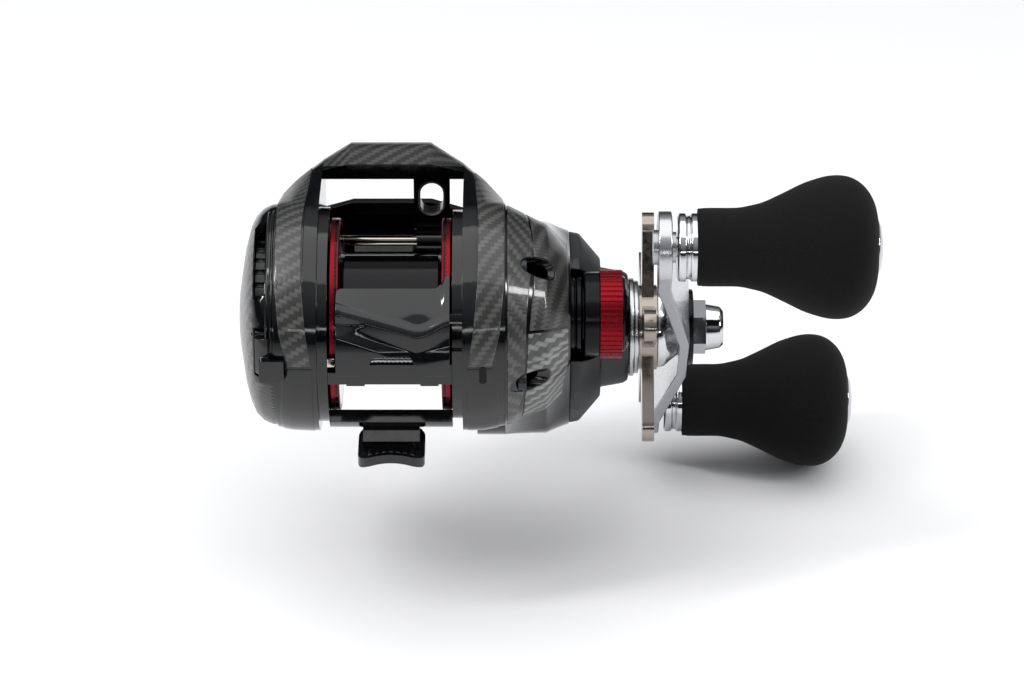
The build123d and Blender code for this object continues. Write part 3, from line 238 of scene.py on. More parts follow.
@dataclass(frozen=True)
class TwillFinish(Finish):
    """Carbon-fibre twill under clear lacquer: 2 by 2 weave, with the weft tows painted lighter and the warp
    tows darker, as painted sheen and shade by direction.
    """

    space: Space = Space.SURFACE
    tow_mm: float = 0.86
    # light and dark: the painted sheen of the weft tows and the painted shade of the warp tows.
    light: str = "#4d4d4a"
    dark: str = "#060708"
    bump_mm: float = 0.035
    wave_mm: float = 0.3

    def pattern(self, tree: bpy.types.NodeTree, shader: bpy.types.Node) -> None:
        """Weaves two sets of tows over two and under two, rounds each float, and paints the weft lighter than
        the warp as a painted sheen and each float darker towards its edges as painted shade.

        Args:
            tree: the material's node tree.
            shader: the shader that the pattern feeds.
        """
        source = coordinates(tree, self.space, 1.0 / self.tow_mm)
        ripple = add_node(tree, "TexNoise", {}, {"Vector": source, "Scale": 0.16, "Detail": 1.0})
        moved = add_node(tree, "VectorMath", {"operation": "MULTIPLY_ADD"}, {
            0: ripple.outputs["Color"], 1: (self.wave_mm,) * 3, 2: source}).outputs[0]
        split = add_node(tree, "SeparateXYZ", {}, {0: moved})
        u, v = split.outputs[0], split.outputs[1]
        column = calculate(tree, "FLOOR", u)
        row = calculate(tree, "FLOOR", v)
        step = calculate(tree, "FLOORED_MODULO", calculate(tree, "ADD", column, row), 4.0)
        warp_up = calculate(tree, "LESS_THAN", step, 1.5)
        weft_up = calculate(tree, "SUBTRACT", 1.0, warp_up)
        along_warp = calculate(tree, "FLOORED_MODULO", calculate(tree, "ADD", v, column), 4.0)
        along_weft = calculate(tree, "FLOORED_MODULO", calculate(tree, "ADD", u, row), 4.0)
        warp_float = self.hump(tree, calculate(tree, "MULTIPLY", along_warp, 0.5),
                               calculate(tree, "FRACT", u))
        shifted = calculate(tree, "SUBTRACT", calculate(tree, "MULTIPLY", along_weft, 0.5), 1.0)
        weft_float = self.hump(tree, shifted, calculate(tree, "FRACT", v))
        height = add_node(tree, "Mix", {"data_type": "FLOAT"}, {
            0: warp_up, 2: weft_float, 3: warp_float}).outputs[0]
        threads_u = add_node(tree, "TexNoise", {}, {"Vector": self.drawn(tree, u, v, 14.0, 0.8),
                                                    "Scale": 1.0})
        threads_v = add_node(tree, "TexNoise", {}, {"Vector": self.drawn(tree, u, v, 0.8, 14.0),
                                                    "Scale": 1.0})
        threads = add_node(tree, "Mix", {"data_type": "FLOAT"}, {
            0: warp_up, 2: threads_v.outputs["Fac"], 3: threads_u.outputs["Fac"]}).outputs[0]
        patch = add_node(tree, "TexNoise", {}, {"Vector": source, "Scale": 0.22,
                                                "Detail": 2.0}).outputs["Fac"]
        # Painted light: weft tows are painted lighter than warp tows as a sheen, and each float darkens
        # towards its edges as painted shade.
        painted_tow_sheen = calculate(tree, "ADD", calculate(tree, "MULTIPLY", weft_up, 0.66),
                         calculate(tree, "MULTIPLY", threads, 0.3))
        toned = calculate(tree, "MULTIPLY", painted_tow_sheen, calculate(tree, "ADD", patch, 0.45))
        painted_hump_shade = calculate(tree, "ADD", calculate(tree, "MULTIPLY", height, 0.65), 0.35)
        shaded = calculate(tree, "MULTIPLY", toned, painted_hump_shade)
        mixed = add_node(tree, "Mix", {"data_type": "RGBA"}, {
            0: shaded, 6: linear(self.dark), 7: linear(self.light)}).outputs[2]
        tree.links.new(mixed, shader.inputs["Base Color"])
        bump = add_node(tree, "Bump", {}, {"Height": height, "Distance": self.bump_mm * MM, "Strength": 0.9})
        tree.links.new(bump.outputs[0], shader.inputs["Normal"])

    @staticmethod
    def hump(tree: bpy.types.NodeTree, along: Any, across: Any) -> bpy.types.NodeSocket:
        """A tow's rounded height.

        Args:
            tree: the material's node tree.
            along: place along the float, from 0 to 1.
            across: place across the tow, from 0 to 1.

        Returns:
            A height socket.
        """
        end = calculate(tree, "SINE", calculate(tree, "MULTIPLY", along, math.pi))
        side = calculate(tree, "SINE", calculate(tree, "MULTIPLY", across, math.pi))
        flat = calculate(tree, "POWER", calculate(tree, "MAXIMUM", end, 0.0), 0.35)
        return calculate(tree, "MULTIPLY", flat,
                         calculate(tree, "POWER", calculate(tree, "MAXIMUM", side, 0.0), 0.45))

    @staticmethod
    def drawn(tree: bpy.types.NodeTree, u: Any, v: Any, scale_u: float,
              scale_v: float) -> bpy.types.NodeSocket:
        """Coordinates stretched along one set of threads."""
        return add_node(tree, "CombineXYZ", {}, {
            0: calculate(tree, "MULTIPLY", u, scale_u), 1: calculate(tree, "MULTIPLY", v,
                                                                     scale_v)}).outputs[0]


@dataclass(frozen=True)
class FoamFinish(Finish):
    """Closed-cell EVA foam, ground smooth: matt, with fine open cells and a soft bloom."""

    cell_mm: float = 0.16
    bump_mm: float = 0.06

    def pattern(self, tree: bpy.types.NodeTree, shader: bpy.types.Node) -> None:
        """Opens small cells in the surface and greys a few of them.

        Args:
            tree: the material's node tree.
            shader: the shader that the pattern feeds.
        """
        place = coordinates(tree, Space.OBJECT, 1.0 / self.cell_mm)
        cells = add_node(tree, "TexVoronoi", {}, {"Vector": place, "Scale": 1.0})
        fine = add_node(tree, "TexNoise", {}, {"Vector": place, "Scale": 0.55, "Detail": 4.0,
                                               "Roughness": 0.7})
        raised = calculate(tree, "MULTIPLY", cells.outputs["Distance"], 0.6)
        height = calculate(tree, "ADD", raised, fine.outputs["Fac"])
        bump = add_node(tree, "Bump", {}, {"Height": height, "Distance": self.bump_mm * MM, "Strength": 0.8})
        tree.links.new(bump.outputs[0], shader.inputs["Normal"])
        speck = add_node(tree, "MapRange", {}, {
            "Value": fine.outputs["Fac"], "From Min": 0.52, "From Max": 0.75, "To Min": 0.0, "To Max": 0.55})
        mixed = add_node(tree, "Mix", {"data_type": "RGBA"}, {
            0: speck.outputs[0], 6: linear(self.colour), 7: linear("#1f1f20")}).outputs[2]
        tree.links.new(mixed, shader.inputs["Base Color"])


# ---------------------------------------------------------------- finishes
@dataclass(frozen=True)
class Finishes:
    """Every finish on the reel, by what it is made of and how it was made."""

    # Sprayed gloss black over cast aluminium: deep, wet reflections with a trace of orange peel.
    gloss_black: Finish = GrainFinish("Aluminium_SprayedGlossBlack", "#08090b", roughness=0.09, grain_mm=1.8,
                                      bump_mm=0.003, spread=0.04)
    # Moulded ABS with a satin tool surface: soft grey highlights.
    satin_black: Finish = GrainFinish("ABS_MouldedSatinBlack", "#101113", roughness=0.3, grain_mm=0.5,
                                      bump_mm=0.003, spread=0.06)
    # Carbon twill in clear lacquer: the tows' light and dark by direction is a painted sheen and painted
    # shade in their colour, under one smooth gloss.
    carbon: Finish = TwillFinish("CarbonTwill_Lacquered", "#17181a", roughness=0.45, coat=0.45,
                                 coat_roughness=0.06)
    # A coarser piece of the same twill with a brighter painted sheen on its tows, as the inset panel shows.
    carbon_bold: Finish = TwillFinish("CarbonTwill_InsetPanel", "#17181a", roughness=0.4, coat=0.45,
                                      coat_roughness=0.08, tow_mm=1.25, light="#8a8b89", dark="#0c0d0e")
    # Spark-eroded glass-filled nylon: matt and even, with a fine dry grain.
    matt_grey: Finish = GrainFinish("Nylon_SparkErodedDarkGrey", "#1b1d1f", roughness=0.5, grain_mm=0.14,
                                    bump_mm=0.012, spread=0.1, tint="#26282b", tint_share=0.5)
    # Moulded nylon in the brake and clutch: plain black with a broad, weak sheen.
    nylon_black: Finish = GrainFinish("Nylon_MouldedBlack", "#17181a", roughness=0.45, grain_mm=0.3,
                                      bump_mm=0.006)
    # Moulded acetal gear stock, off-white and slightly waxy.
    acetal_white: Finish = GrainFinish("Acetal_MouldedNatural", "#dcdacf", roughness=0.4, grain_mm=0.4,
                                       bump_mm=0.004)
    # Polished chrome plate: mirror bright, a breath of haze from handling.
    chrome: Finish = GrainFinish("Brass_ChromePlated", "#c9cacc", metallic=1.0, roughness=0.07, grain_mm=2.2,
                                 bump_mm=0.0015, spread=0.03)
    # Clear anodised aluminium, bead-blasted then bright dipped: silky silver with a fine drawn grain.
    satin_silver: Finish = GrainFinish("Aluminium_SatinAnodised", "#b9babd", metallic=1.0, roughness=0.24,
                                       grain_mm=0.5, bump_mm=0.003, spread=0.07, stretch=(6.0, 1.0, 1.0))
    # Dark chrome plate on the star's arms: warm gunmetal mirror.
    gunmetal: Finish = GrainFinish("Aluminium_GunmetalPlated", "#948c84", metallic=1.0, roughness=0.16,
                                   grain_mm=1.0, bump_mm=0.002, spread=0.06)
    # Red dye anodise over turned aluminium: clear saturated metal.
    red_anodised: Finish = GrainFinish("Aluminium_RedAnodised", "#7c1720", metallic=1.0, roughness=0.3,
                                       grain_mm=0.25, bump_mm=0.003, spread=0.08)
    # Black dye anodise, machined: dark metal with a grey sheen.
    black_anodised: Finish = GrainFinish("Aluminium_BlackAnodised", "#131416", metallic=0.8, roughness=0.2,
                                         grain_mm=0.3, bump_mm=0.003, spread=0.07)
    # Black dye anodise over a diamond-cut arbor: a dark mirror with sharp highlight lines.
    black_mirror: Finish = GrainFinish("Aluminium_DiamondCutBlack", "#0c0c0e", metallic=0.7, roughness=0.09,
                                       grain_mm=0.8, bump_mm=0.001, spread=0.03)
    # Ground bearing steel: mid grey, with a highlight drawn out along the grinding.
    ground_steel: Finish = GrainFinish("Steel_Ground", "#a6a7a9", metallic=1.0, roughness=0.25, grain_mm=0.3,
                                       bump_mm=0.003, spread=0.08, stretch=(8.0, 1.0, 1.0))
    # Polished stainless bar: one sharp, slightly warm highlight line.
    polished_steel: Finish = GrainFinish("Steel_PolishedStainless", "#c4bfb6", metallic=1.0, roughness=0.12,
                                         grain_mm=0.6, bump_mm=0.002, spread=0.04)
    # Oil-blackened screw steel: dark grey metal with a broken, soft glint.
    black_steel: Finish = GrainFinish("Steel_Blackened", "#3a3b3e", metallic=1.0, roughness=0.3, grain_mm=0.2,
                                      bump_mm=0.004, spread=0.1)
    # Hobbed brass: yellow metal with soft cutter-grained highlights.
    cut_brass: Finish = GrainFinish("Brass_Hobbed", "#c9a25c", metallic=1.0, roughness=0.28, grain_mm=0.3,
                                    bump_mm=0.003, spread=0.08)
    # Polished ceramic ring, grey and glassy.
    ceramic: Finish = GrainFinish("Zirconia_PolishedRing", "#5b5c5e", roughness=0.12, ior=2.1, grain_mm=0.8,
                                  bump_mm=0.001, spread=0.04)
    # Painted shadow in the drain slot: a dull near-black inlay stands in for the shade inside the recess, so
    # the slot reads as dark.
    slot_shadow: Finish = GrainFinish("PaintedShadow_DrainSlot", "#040404", roughness=0.95, grain_mm=0.4,
                                      bump_mm=0.01)
    # Pressed drag fibre: dry, dark and without a highlight.
    drag_fibre: Finish = GrainFinish("CarbonFelt_DragWasher", "#1a1a1a", roughness=0.8, grain_mm=0.3,
                                     bump_mm=0.03)
    # Ground EVA foam: a soft matt black that swallows highlights, with fine cells at its edges.
    foam: Finish = FoamFinish("EVA_GroundFoam", "#0e0e0f", roughness=1.0, sheen=0.03, ior=1.25)


FINISH = Finishes()


# ---------------------------------------------------------------- mesh helpers
def make_object(name: str, points: np.ndarray, faces: Sequence[Sequence[int]], finish: Finish,
                smooth: bool = True) -> bpy.types.Object:
    """Makes an object from points in millimetres.

    Args:
        name: the piece's name.
        points: rows of x, y, z in millimetres.
        faces: rings of point numbers.
        finish: the finish of the whole piece.
        smooth: whether the faces shade smoothly.

    Returns:
        The linked object.
    """
    mesh = bpy.data.meshes.new(name)
    mesh.from_pydata([tuple(p) for p in np.asarray(points) * MM], [], [list(f) for f in faces])
    mesh.validate()
    work = bmesh.new()
    work.from_mesh(mesh)
    bmesh.ops.remove_doubles(work, verts=work.verts, dist=1e-7)
    bmesh.ops.recalc_face_normals(work, faces=work.faces)
    work.to_mesh(mesh)
    work.free()
    for polygon in mesh.polygons:
        polygon.use_smooth = smooth
    piece = bpy.data.objects.new(name, mesh)
    bpy.context.scene.collection.objects.link(piece)
    mesh.materials.append(finish.material())
    return piece


def bevel(piece: bpy.types.Object, width_mm: float, segments: int = 2,
          angle: float = 32.0) -> bpy.types.Object:
    """Rounds a piece's sharp edges and evens its shading.

    Args:
        piece: the piece.
        width_mm: the bevel's width.
        segments: how many strips round the edge.
        angle: the least edge angle that is rounded, in degrees.

    Returns:
        The same piece.
    """
    rounding = piece.modifiers.new("edge rounding", "BEVEL")
    rounding.width = width_mm * MM
    rounding.segments = segments
    rounding.limit_method = "ANGLE"
    rounding.angle_limit = math.radians(angle)
    rounding.miter_outer = "MITER_ARC"
    evening = piece.modifiers.new("even shading", "WEIGHTED_NORMAL")
    evening.keep_sharp = True
    return piece


def apply_modifiers(piece: bpy.types.Object) -> bpy.types.Object:
    """Bakes a piece's modifiers into its mesh.

    Args:
        piece: the piece.

    Returns:
        The same piece.
    """
    graph = bpy.context.evaluated_depsgraph_get()
    baked = bpy.data.meshes.new_from_object(piece.evaluated_get(graph))
    piece.modifiers.clear()
    piece.data = baked
    return piece


def grid_faces(rows: int, columns: int, close_rows: bool, close_columns: bool) -> list[tuple[int, ...]]:
    """Quads over a grid of points.

    Args:
        rows: points along the first way.
        columns: points along the second way.
        close_rows: whether the last row joins the first.
        close_columns: whether the last column joins the first.

    Returns:
        Rings of four point numbers.
    """
    faces = []
    for i in range(rows if close_rows else rows - 1):
        for j in range(columns if close_columns else columns - 1):
            k, m = (i + 1) % rows, (j + 1) % columns
            faces.append((i * columns + j, i * columns + m, k * columns + m, k * columns + j))
    return faces


def lathe(name: str, profile: Section, centre: Point, finish: Finish, steps: int = 96,
          closed: bool = False) -> bpy.types.Object:
    """Turns a profile about an axis parallel to X.

    Args:
        name: the piece's name.
        profile: (x, radius) corners in millimetres.
        centre: y and z of the axis.
        finish: the finish.
        steps: facets round the axis.
        closed: whether the profile's last corner joins its first, as for a ring.

    Returns:
        The object, with its ends capped where the profile doesn't reach the axis.
    """
    turns = np.linspace(0, 2 * math.pi, steps, endpoint=False)
    rows = [np.stack([np.full(steps, x), centre[0] + r * np.cos(turns), centre[1] + r * np.sin(turns)], 1)
            for x, r in profile]
    faces = grid_faces(len(rows), steps, closed, True)
    if not closed:
        faces += [tuple(range(steps)), tuple(range((len(rows) - 1) * steps, len(rows) * steps))]
    piece = make_object(name, np.concatenate(rows), faces, finish)
    return piece


def paint(node: str, finish: Finish) -> None:
    """Gives a carried-over node its finish.

    Args:
        node: the node.
        finish: its finish.
    """
    mesh = FRAME.nodes[node].data
    if mesh.materials:
        for index in range(len(mesh.materials)):
            mesh.materials[index] = finish.material()
    else:
        mesh.materials.append(finish.material())


def rounded_copy(node: str, name: str, finish: Finish, width_mm: float, angle: float = 32.0,
                 segments: int = 2) -> bpy.types.Object:
    """A copy of a carried-over node with cleaned faces and rounded edges, which stands for it.

    Args:
        node: the node to copy.
        name: the copy's name.
        finish: its finish.
        width_mm: the width of its rounded edges.
        angle: the least edge angle that is rounded.
        segments: strips round an edge.

    Returns:
        The new piece, riding on the node's body.
    """
    work = bmesh.new()
    work.from_mesh(FRAME.nodes[node].data)
    bmesh.ops.remove_doubles(work, verts=work.verts, dist=2e-6)
    bmesh.ops.dissolve_limit(work, angle_limit=math.radians(0.6), verts=work.verts, edges=work.edges)
    bmesh.ops.recalc_face_normals(work, faces=work.faces)
    mesh = bpy.data.meshes.new(name)
    work.to_mesh(mesh)
    work.free()
    for polygon in mesh.polygons:
        polygon.use_smooth = True
    piece = bpy.data.objects.new(name, mesh)
    bpy.context.scene.collection.objects.link(piece)
    mesh.materials.append(finish.material())
    bevel(piece, width_mm, segments, angle)
    return stand_in(piece, node)


def stand_in(piece: bpy.types.Object, *nodes: str) -> bpy.types.Object:
    """Makes a piece ride with the first node's body and stand for all the nodes named.

    Args:
        piece: the piece.
        nodes: the nodes it stands for.

    Returns:
        The same piece.
    """
    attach(piece, FRAME.body_of[nodes[0]])
    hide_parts(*nodes)
    LOG.info("%s stands for %s", piece.name, ", ".join(nodes))
    return piece


def go_with(piece: bpy.types.Object, node: str) -> bpy.types.Object:
    """Makes an added piece ride with a node's body.

    Args:
        piece: the piece.
        node: the node that it goes with.

    Returns:
        The same piece.
    """
    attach(piece, FRAME.body_of[node])
    LOG.info("%s rides with %s", piece.name, node)
    return piece


@dataclass
class Frame:
    """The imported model: its nodes, their bodies and slots, and the places read from them."""

    nodes: dict[str, bpy.types.Object] = field(default_factory=dict)
    body_of: dict[str, str] = field(default_factory=dict)
    slot_of: dict[str, str] = field(default_factory=dict)

    def load(self) -> None:
        """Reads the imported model."""
        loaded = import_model()
        self.nodes = loaded["nodes"]
        record = loaded["record"]
        for body, members in record["behaviour"]["bodies"].items():
            for node in members:
                self.body_of[node] = body
        for entry in record["subparts"]:
            self.slot_of[entry["node"]] = entry["material_slot"]

    def box(self, node: str) -> tuple[np.ndarray, np.ndarray]:
        """A node's lowest and highest corner, in millimetres."""
        low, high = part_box(node)
        return np.array(low) / MM, np.array(high) / MM

    def centre(self, node: str) -> Point:
        """The y and z of the middle of a node's box, in millimetres."""
        low, high = self.box(node)
        return (low[1] + high[1]) / 2, (low[2] + high[2]) / 2


FRAME = Frame()


# ---------------------------------------------------------------- places
SPOOL_HEIGHT = 23.5
DRIVE = (14.184, -11.082)
WEAVE_STATION = 12.0            # where along the axis the body's girth is measured for the weave
WEAVE_LEAN = 0.75               # how far the weave runs outwards with radius on the handle side
WEAVE_GIRTH = 20.0              # mean radius of the handle side
BODY_MIDDLE = 8.0               # how far forward of the spool axis the body's middle lies
SIDE_SHARE = 0.3                # how little the sideways direction counts when a shell's outside is found


def at_height(place: Point) -> Point:
    """Turns a place about the spool axis into one above the foot."""
    return place[0], place[1] + SPOOL_HEIGHT


def polar(radius: float, angle: float, centre: Point = (0.0, 0.0)) -> Point:
    """A place by radius and angle, in degrees from forward, about a centre."""
    turn = math.radians(angle)
    return centre[0] + radius * math.cos(turn), centre[1] + radius * math.sin(turn)


@dataclass(frozen=True)
class Outline:
    """The body's outline about the spool axis: a tight belt round three circles that shrink to the sides."""

    middle: float = -0.6
    flat: float = 8.0
    edge: float = 22.4
    shares: tuple[float, ...] = (0.0, 0.43, 0.76, 1.05)
    spool: tuple[float, ...] = (23.0, 23.0, 22.8, 22.0)
    reach: tuple[float, ...] = (1.0, 0.885, 0.725, 0.52)
    upper: tuple[float, ...] = (13.8, 12.3, 11.6, 11.3)
    lower: tuple[float, ...] = (8.5, 8.5, 8.6, 8.9)
    upper_nose: Point = (25.5, 9.5)
    lower_nose: Point = (30.0, -6.0)

    def circles(self, x: float) -> list[tuple[float, float, float]]:
        """The three circles at a place along the axis.

        Args:
            x: place along the axis.

        Returns:
            The y, z and radius of each circle.
        """
        share = max(0.0, (abs(x - self.middle) - self.flat) / (self.edge - self.flat))
        spool, reach, upper, lower = (float(np.interp(share, self.shares, values))
                                      for values in (self.spool, self.reach, self.upper, self.lower))
        return [(0.0, 0.0, spool), (self.upper_nose[0] * reach, self.upper_nose[1] * reach, upper),
                (self.lower_nose[0] * reach, self.lower_nose[1] * reach, lower)]

    def radius(self, x: float, angle: float | np.ndarray) -> np.ndarray:
        """The outline's distance from the spool axis.

        Args:
            x: place along the axis.
            angle: directions in degrees from forward.

        Returns:
            The radius in each direction.
        """
        return belt_radius(self.circles(x), np.atleast_1d(angle))


def belt_radius(circles: Sequence[tuple[float, float, float]], angles: np.ndarray) -> np.ndarray:
    """The distance from the origin to a belt pulled tight round circles.

    Args:
        circles: the y, z and radius of each circle.
        angles: directions in degrees from forward.

    Returns:
        The distance in each direction.
    """
    normals = np.radians(np.linspace(-180, 180, 1441))
    support = np.max([cy * np.cos(normals) + cz * np.sin(normals) + r for cy, cz, r in circles], axis=0)
    lean = np.cos(normals[None, :] - np.radians(np.asarray(angles, float))[:, None])
    reach = np.where(lean > 0.05, support[None, :] / np.maximum(lean, 0.05), 1e9)
    return reach.min(axis=1)


BODY = Outline()


class Weave(Enum):
    """How a weave is laid over a piece."""

    AROUND_BODY = "round the spool axis"
    AROUND_DRIVE = "round the handle axis"
    FACE_ON = "flat, seen from the side"


def lay_weave(piece: bpy.types.Object, weave: Weave, turn: float = 0.0) -> bpy.types.Object:
    """Gives a piece a surface map in millimetres, along and round its form.

    Args:
        piece: the piece.
        weave: how the weave lies.
        turn: degrees the weave is turned on the surface.

    Returns:
        The same piece.
    """
    mesh = piece.data
    layer = mesh.uv_layers.get("weave") or mesh.uv_layers.new(name="weave")
    angles = np.linspace(-180, 180, 721)
    radii = BODY.radius(WEAVE_STATION, angles)
    places = np.stack([radii * np.cos(np.radians(angles)), radii * np.sin(np.radians(angles))], 1)
    arc = np.concatenate([[0], np.cumsum(np.linalg.norm(np.diff(places, axis=0), axis=1))])
    cosine, sine = math.cos(math.radians(turn)), math.sin(math.radians(turn))
    for polygon in mesh.polygons:
        middle = polygon.center / MM
        base = math.degrees(math.atan2(middle[2] - SPOOL_HEIGHT, middle[1]))
        base_drive = math.degrees(math.atan2(middle[2] - SPOOL_HEIGHT - DRIVE[1], middle[1] - DRIVE[0]))
        for loop in polygon.loop_indices:
            x, y, z = mesh.vertices[mesh.loops[loop].vertex_index].co / MM
            z -= SPOOL_HEIGHT
            if weave is Weave.FACE_ON:
                u, v = y, z
            elif weave is Weave.AROUND_BODY:
                angle = math.degrees(math.atan2(z, y))
                angle += 360 * round((base - angle) / 360)
                u, v = x, float(np.interp(angle, angles, arc))
            else:
                angle = math.degrees(math.atan2(z - DRIVE[1], y - DRIVE[0]))
                angle += 360 * round((base_drive - angle) / 360)
                radius = math.hypot(y - DRIVE[0], z - DRIVE[1])
                u, v = x - WEAVE_LEAN * radius, math.radians(angle) * WEAVE_GIRTH
            layer.data[loop].uv = (u * cosine - v * sine, u * sine + v * cosine)
    mesh.uv_layers.active = layer
    return piece


def split_finish(piece: bpy.types.Object, finish: Finish, chosen: Callable[[Vector, Vector], bool]) -> None:
    """Gives a second finish to the faces that a test chooses.

    Args:
        piece: the piece.
        finish: the second finish.
        chosen: takes a face's middle about the spool axis and its normal, and says whether it is chosen.
    """
    piece.data.materials.append(finish.material())
    last = len(piece.data.materials) - 1
    for polygon in piece.data.polygons:
        middle = polygon.center / MM - Vector((0, 0, SPOOL_HEIGHT))
        if chosen(middle, polygon.normal):
            polygon.material_index = last


def skin(name: str, rows: np.ndarray, thickness: float, finish: Finish,
         edge: float = 0.12) -> bpy.types.Object:
    """A thin closed shell over a grid of surface points.

    Args:
        name: the piece's name.
        rows: grid of points, rows by columns by three, in millimetres, wound so its outside is known.
        thickness: how far the shell reaches inwards along the surface's normals.
        finish: its finish.
        edge: rounding of its rim.

    Returns:
        The shell.
    """
    along = np.gradient(rows, axis=0)
    across = np.gradient(rows, axis=1)
    normals = np.cross(along, across)
    normals /= np.maximum(np.linalg.norm(normals, axis=2, keepdims=True), 1e-9)
    outward = rows - np.array([0.0, BODY_MIDDLE, SPOOL_HEIGHT])
    outward[..., 0] *= SIDE_SHARE
    if np.sum(normals * outward) < 0:
        normals = -normals
    count, width = rows.shape[:2]
    points = np.concatenate([rows.reshape(-1, 3), (rows - normals * thickness).reshape(-1, 3)])
    faces = grid_faces(count, width, False, False)
    half = count * width
    faces += [tuple(half + i for i in reversed(f)) for f in grid_faces(count, width, False, False)]
    rim = ([j for j in range(width)] + [i * width + width - 1 for i in range(1, count)]
           + [(count - 1) * width + j for j in range(width - 2, -1, -1)]
           + [i * width for i in range(count - 2, 0, -1)])
    for first, second in zip(rim, rim[1:] + rim[:1]):
        faces.append((first, second, half + second, half + first))
    piece = make_object(name, points, faces, finish)
    return bevel(piece, edge, 2, 40.0) if edge else piece


def surface_rows(turns: np.ndarray, first: np.ndarray, last: np.ndarray, columns: int,
                 radius: Callable[[float, float], float]) -> np.ndarray:
    """Points of a patch that lies on a form round the spool axis.

    Args:
        turns: directions in degrees.
        first: where the patch starts along the axis, at each direction.
        last: where it ends.
        columns: points across the patch.
        radius: gives the form's radius at a place along the axis and a direction.

    Returns:
        A grid of points in millimetres.
    """
    rows = np.zeros((len(turns), columns, 3))
    for j, share in enumerate(np.linspace(0, 1, columns)):
        for i, turn in enumerate(turns):
            x = first[i] + (last[i] - first[i]) * share
            rows[i, j] = (x, *at_height(polar(radius(float(x), float(turn)), float(turn))))
    return rows


def cut_away(piece: bpy.types.Object, cutter: bpy.types.Object) -> None:
    """Cuts one piece out of another and removes the cutter.

    Args:
        piece: the piece that is cut.
        cutter: the shape to take away.
    """
    cut = piece.modifiers.new("cut", "BOOLEAN")
    cut.operation = "DIFFERENCE"
    cut.object = cutter
    cut.solver = "EXACT"
    apply_modifiers(piece)
    bpy.data.objects.remove(cutter)


# ---------------------------------------------------------------- the frame and its covers
@dataclass
class FrameParts:
    """The cast frame: two side plates, the front wall, the bars between them and the foot."""

    edge_mm: float = 0.28

    def build(self) -> None:
        """Makes a rounded piece for each part of the frame."""
        for node in ("frame_left_plate", "frame_right_plate", "front_lower_wall", "rear_crossbar",
                     "foot_rear", "foot_front", "worm_tube", "hood_bar"):
            rounded_copy(node, "cast_" + node, FINISH.gloss_black, self.edge_mm)
        bar = lathe("polished_guide_bar", self.bar_profile(), FRAME.centre("guide_bar"),
                    FINISH.polished_steel, 40)
        stand_in(bar, "guide_bar")
        low, high = FRAME.box("thumb_bar_pin")
        radius = (high[2] - low[2]) / 2
        pin = lathe("polished_thumb_pin", [(low[0], radius * 0.85), (low[0] + 0.2, radius),
                                           (high[0] - 0.25, radius),
                                           (high[0], radius * 0.8)], FRAME.centre("thumb_bar_pin"),
                    FINISH.polished_steel, 32)
        stand_in(pin, "thumb_bar_pin")
        for node in ("thumb_bar_spring", "spool_bearing_right", "drive_bearings", "one_way_bearing"):
            paint(node, FINISH.ground_steel)

    @staticmethod
    def bar_profile() -> list[Point]:
        """The guide bar's lathe profile, with turned-down ends.

        Returns:
            (x, radius) corners in millimetres.
        """
        low, high = FRAME.box("guide_bar")
        radius = (high[2] - low[2]) / 2
        return [(low[0], radius - 0.15), (low[0] + 0.15, radius), (high[0] - 0.15, radius),
                (high[0], radius - 0.15)]


@dataclass
class FootGrip:
    """Fine ribs across the rear foot, where a clamp grips it."""

    count: int = 7
    pitch_mm: float = 1.35
    half_mm: float = 0.32
    proud_mm: float = 0.22
    start_mm: float = 0.6
    end_mm: float = 3.4
    most_rise_mm: float = 4.0

    def build(self) -> None:
        """Lays the ribs along the foot's upper face, following its saddle curve."""
        low, high = FRAME.box("foot_rear")
        mesh = FRAME.nodes["foot_rear"].data
        points = [vertex.co.copy() for vertex in mesh.vertices]
        tree = BVHTree.FromPolygons(points, [tuple(face.vertices) for face in mesh.polygons])
        for number in range(self.count):
            x = (number - (self.count - 1) / 2) * self.pitch_mm
            places = []
            for y in np.linspace(low[1] + self.start_mm, low[1] + self.end_mm, 12):
                row = []
                for share in (-1.0, -0.5, 0.0, 0.5, 1.0):
                    across = x + share * self.half_mm
                    hit = tree.ray_cast(Vector((across, y, high[2] + 40)) * MM, Vector((0, 0, -1)))[0]
                    top = hit.z / MM if hit else low[2]
                    row.append((across, y, top + self.proud_mm * (1 - share * share)))
                places.append(row)
            rows = np.array(places)
            if np.ptp(rows[:, :, 2]) < self.most_rise_mm:
                go_with(skin(f"foot_rib_{number}", rows, 0.2, FINISH.gloss_black, 0.0), "foot_rear")


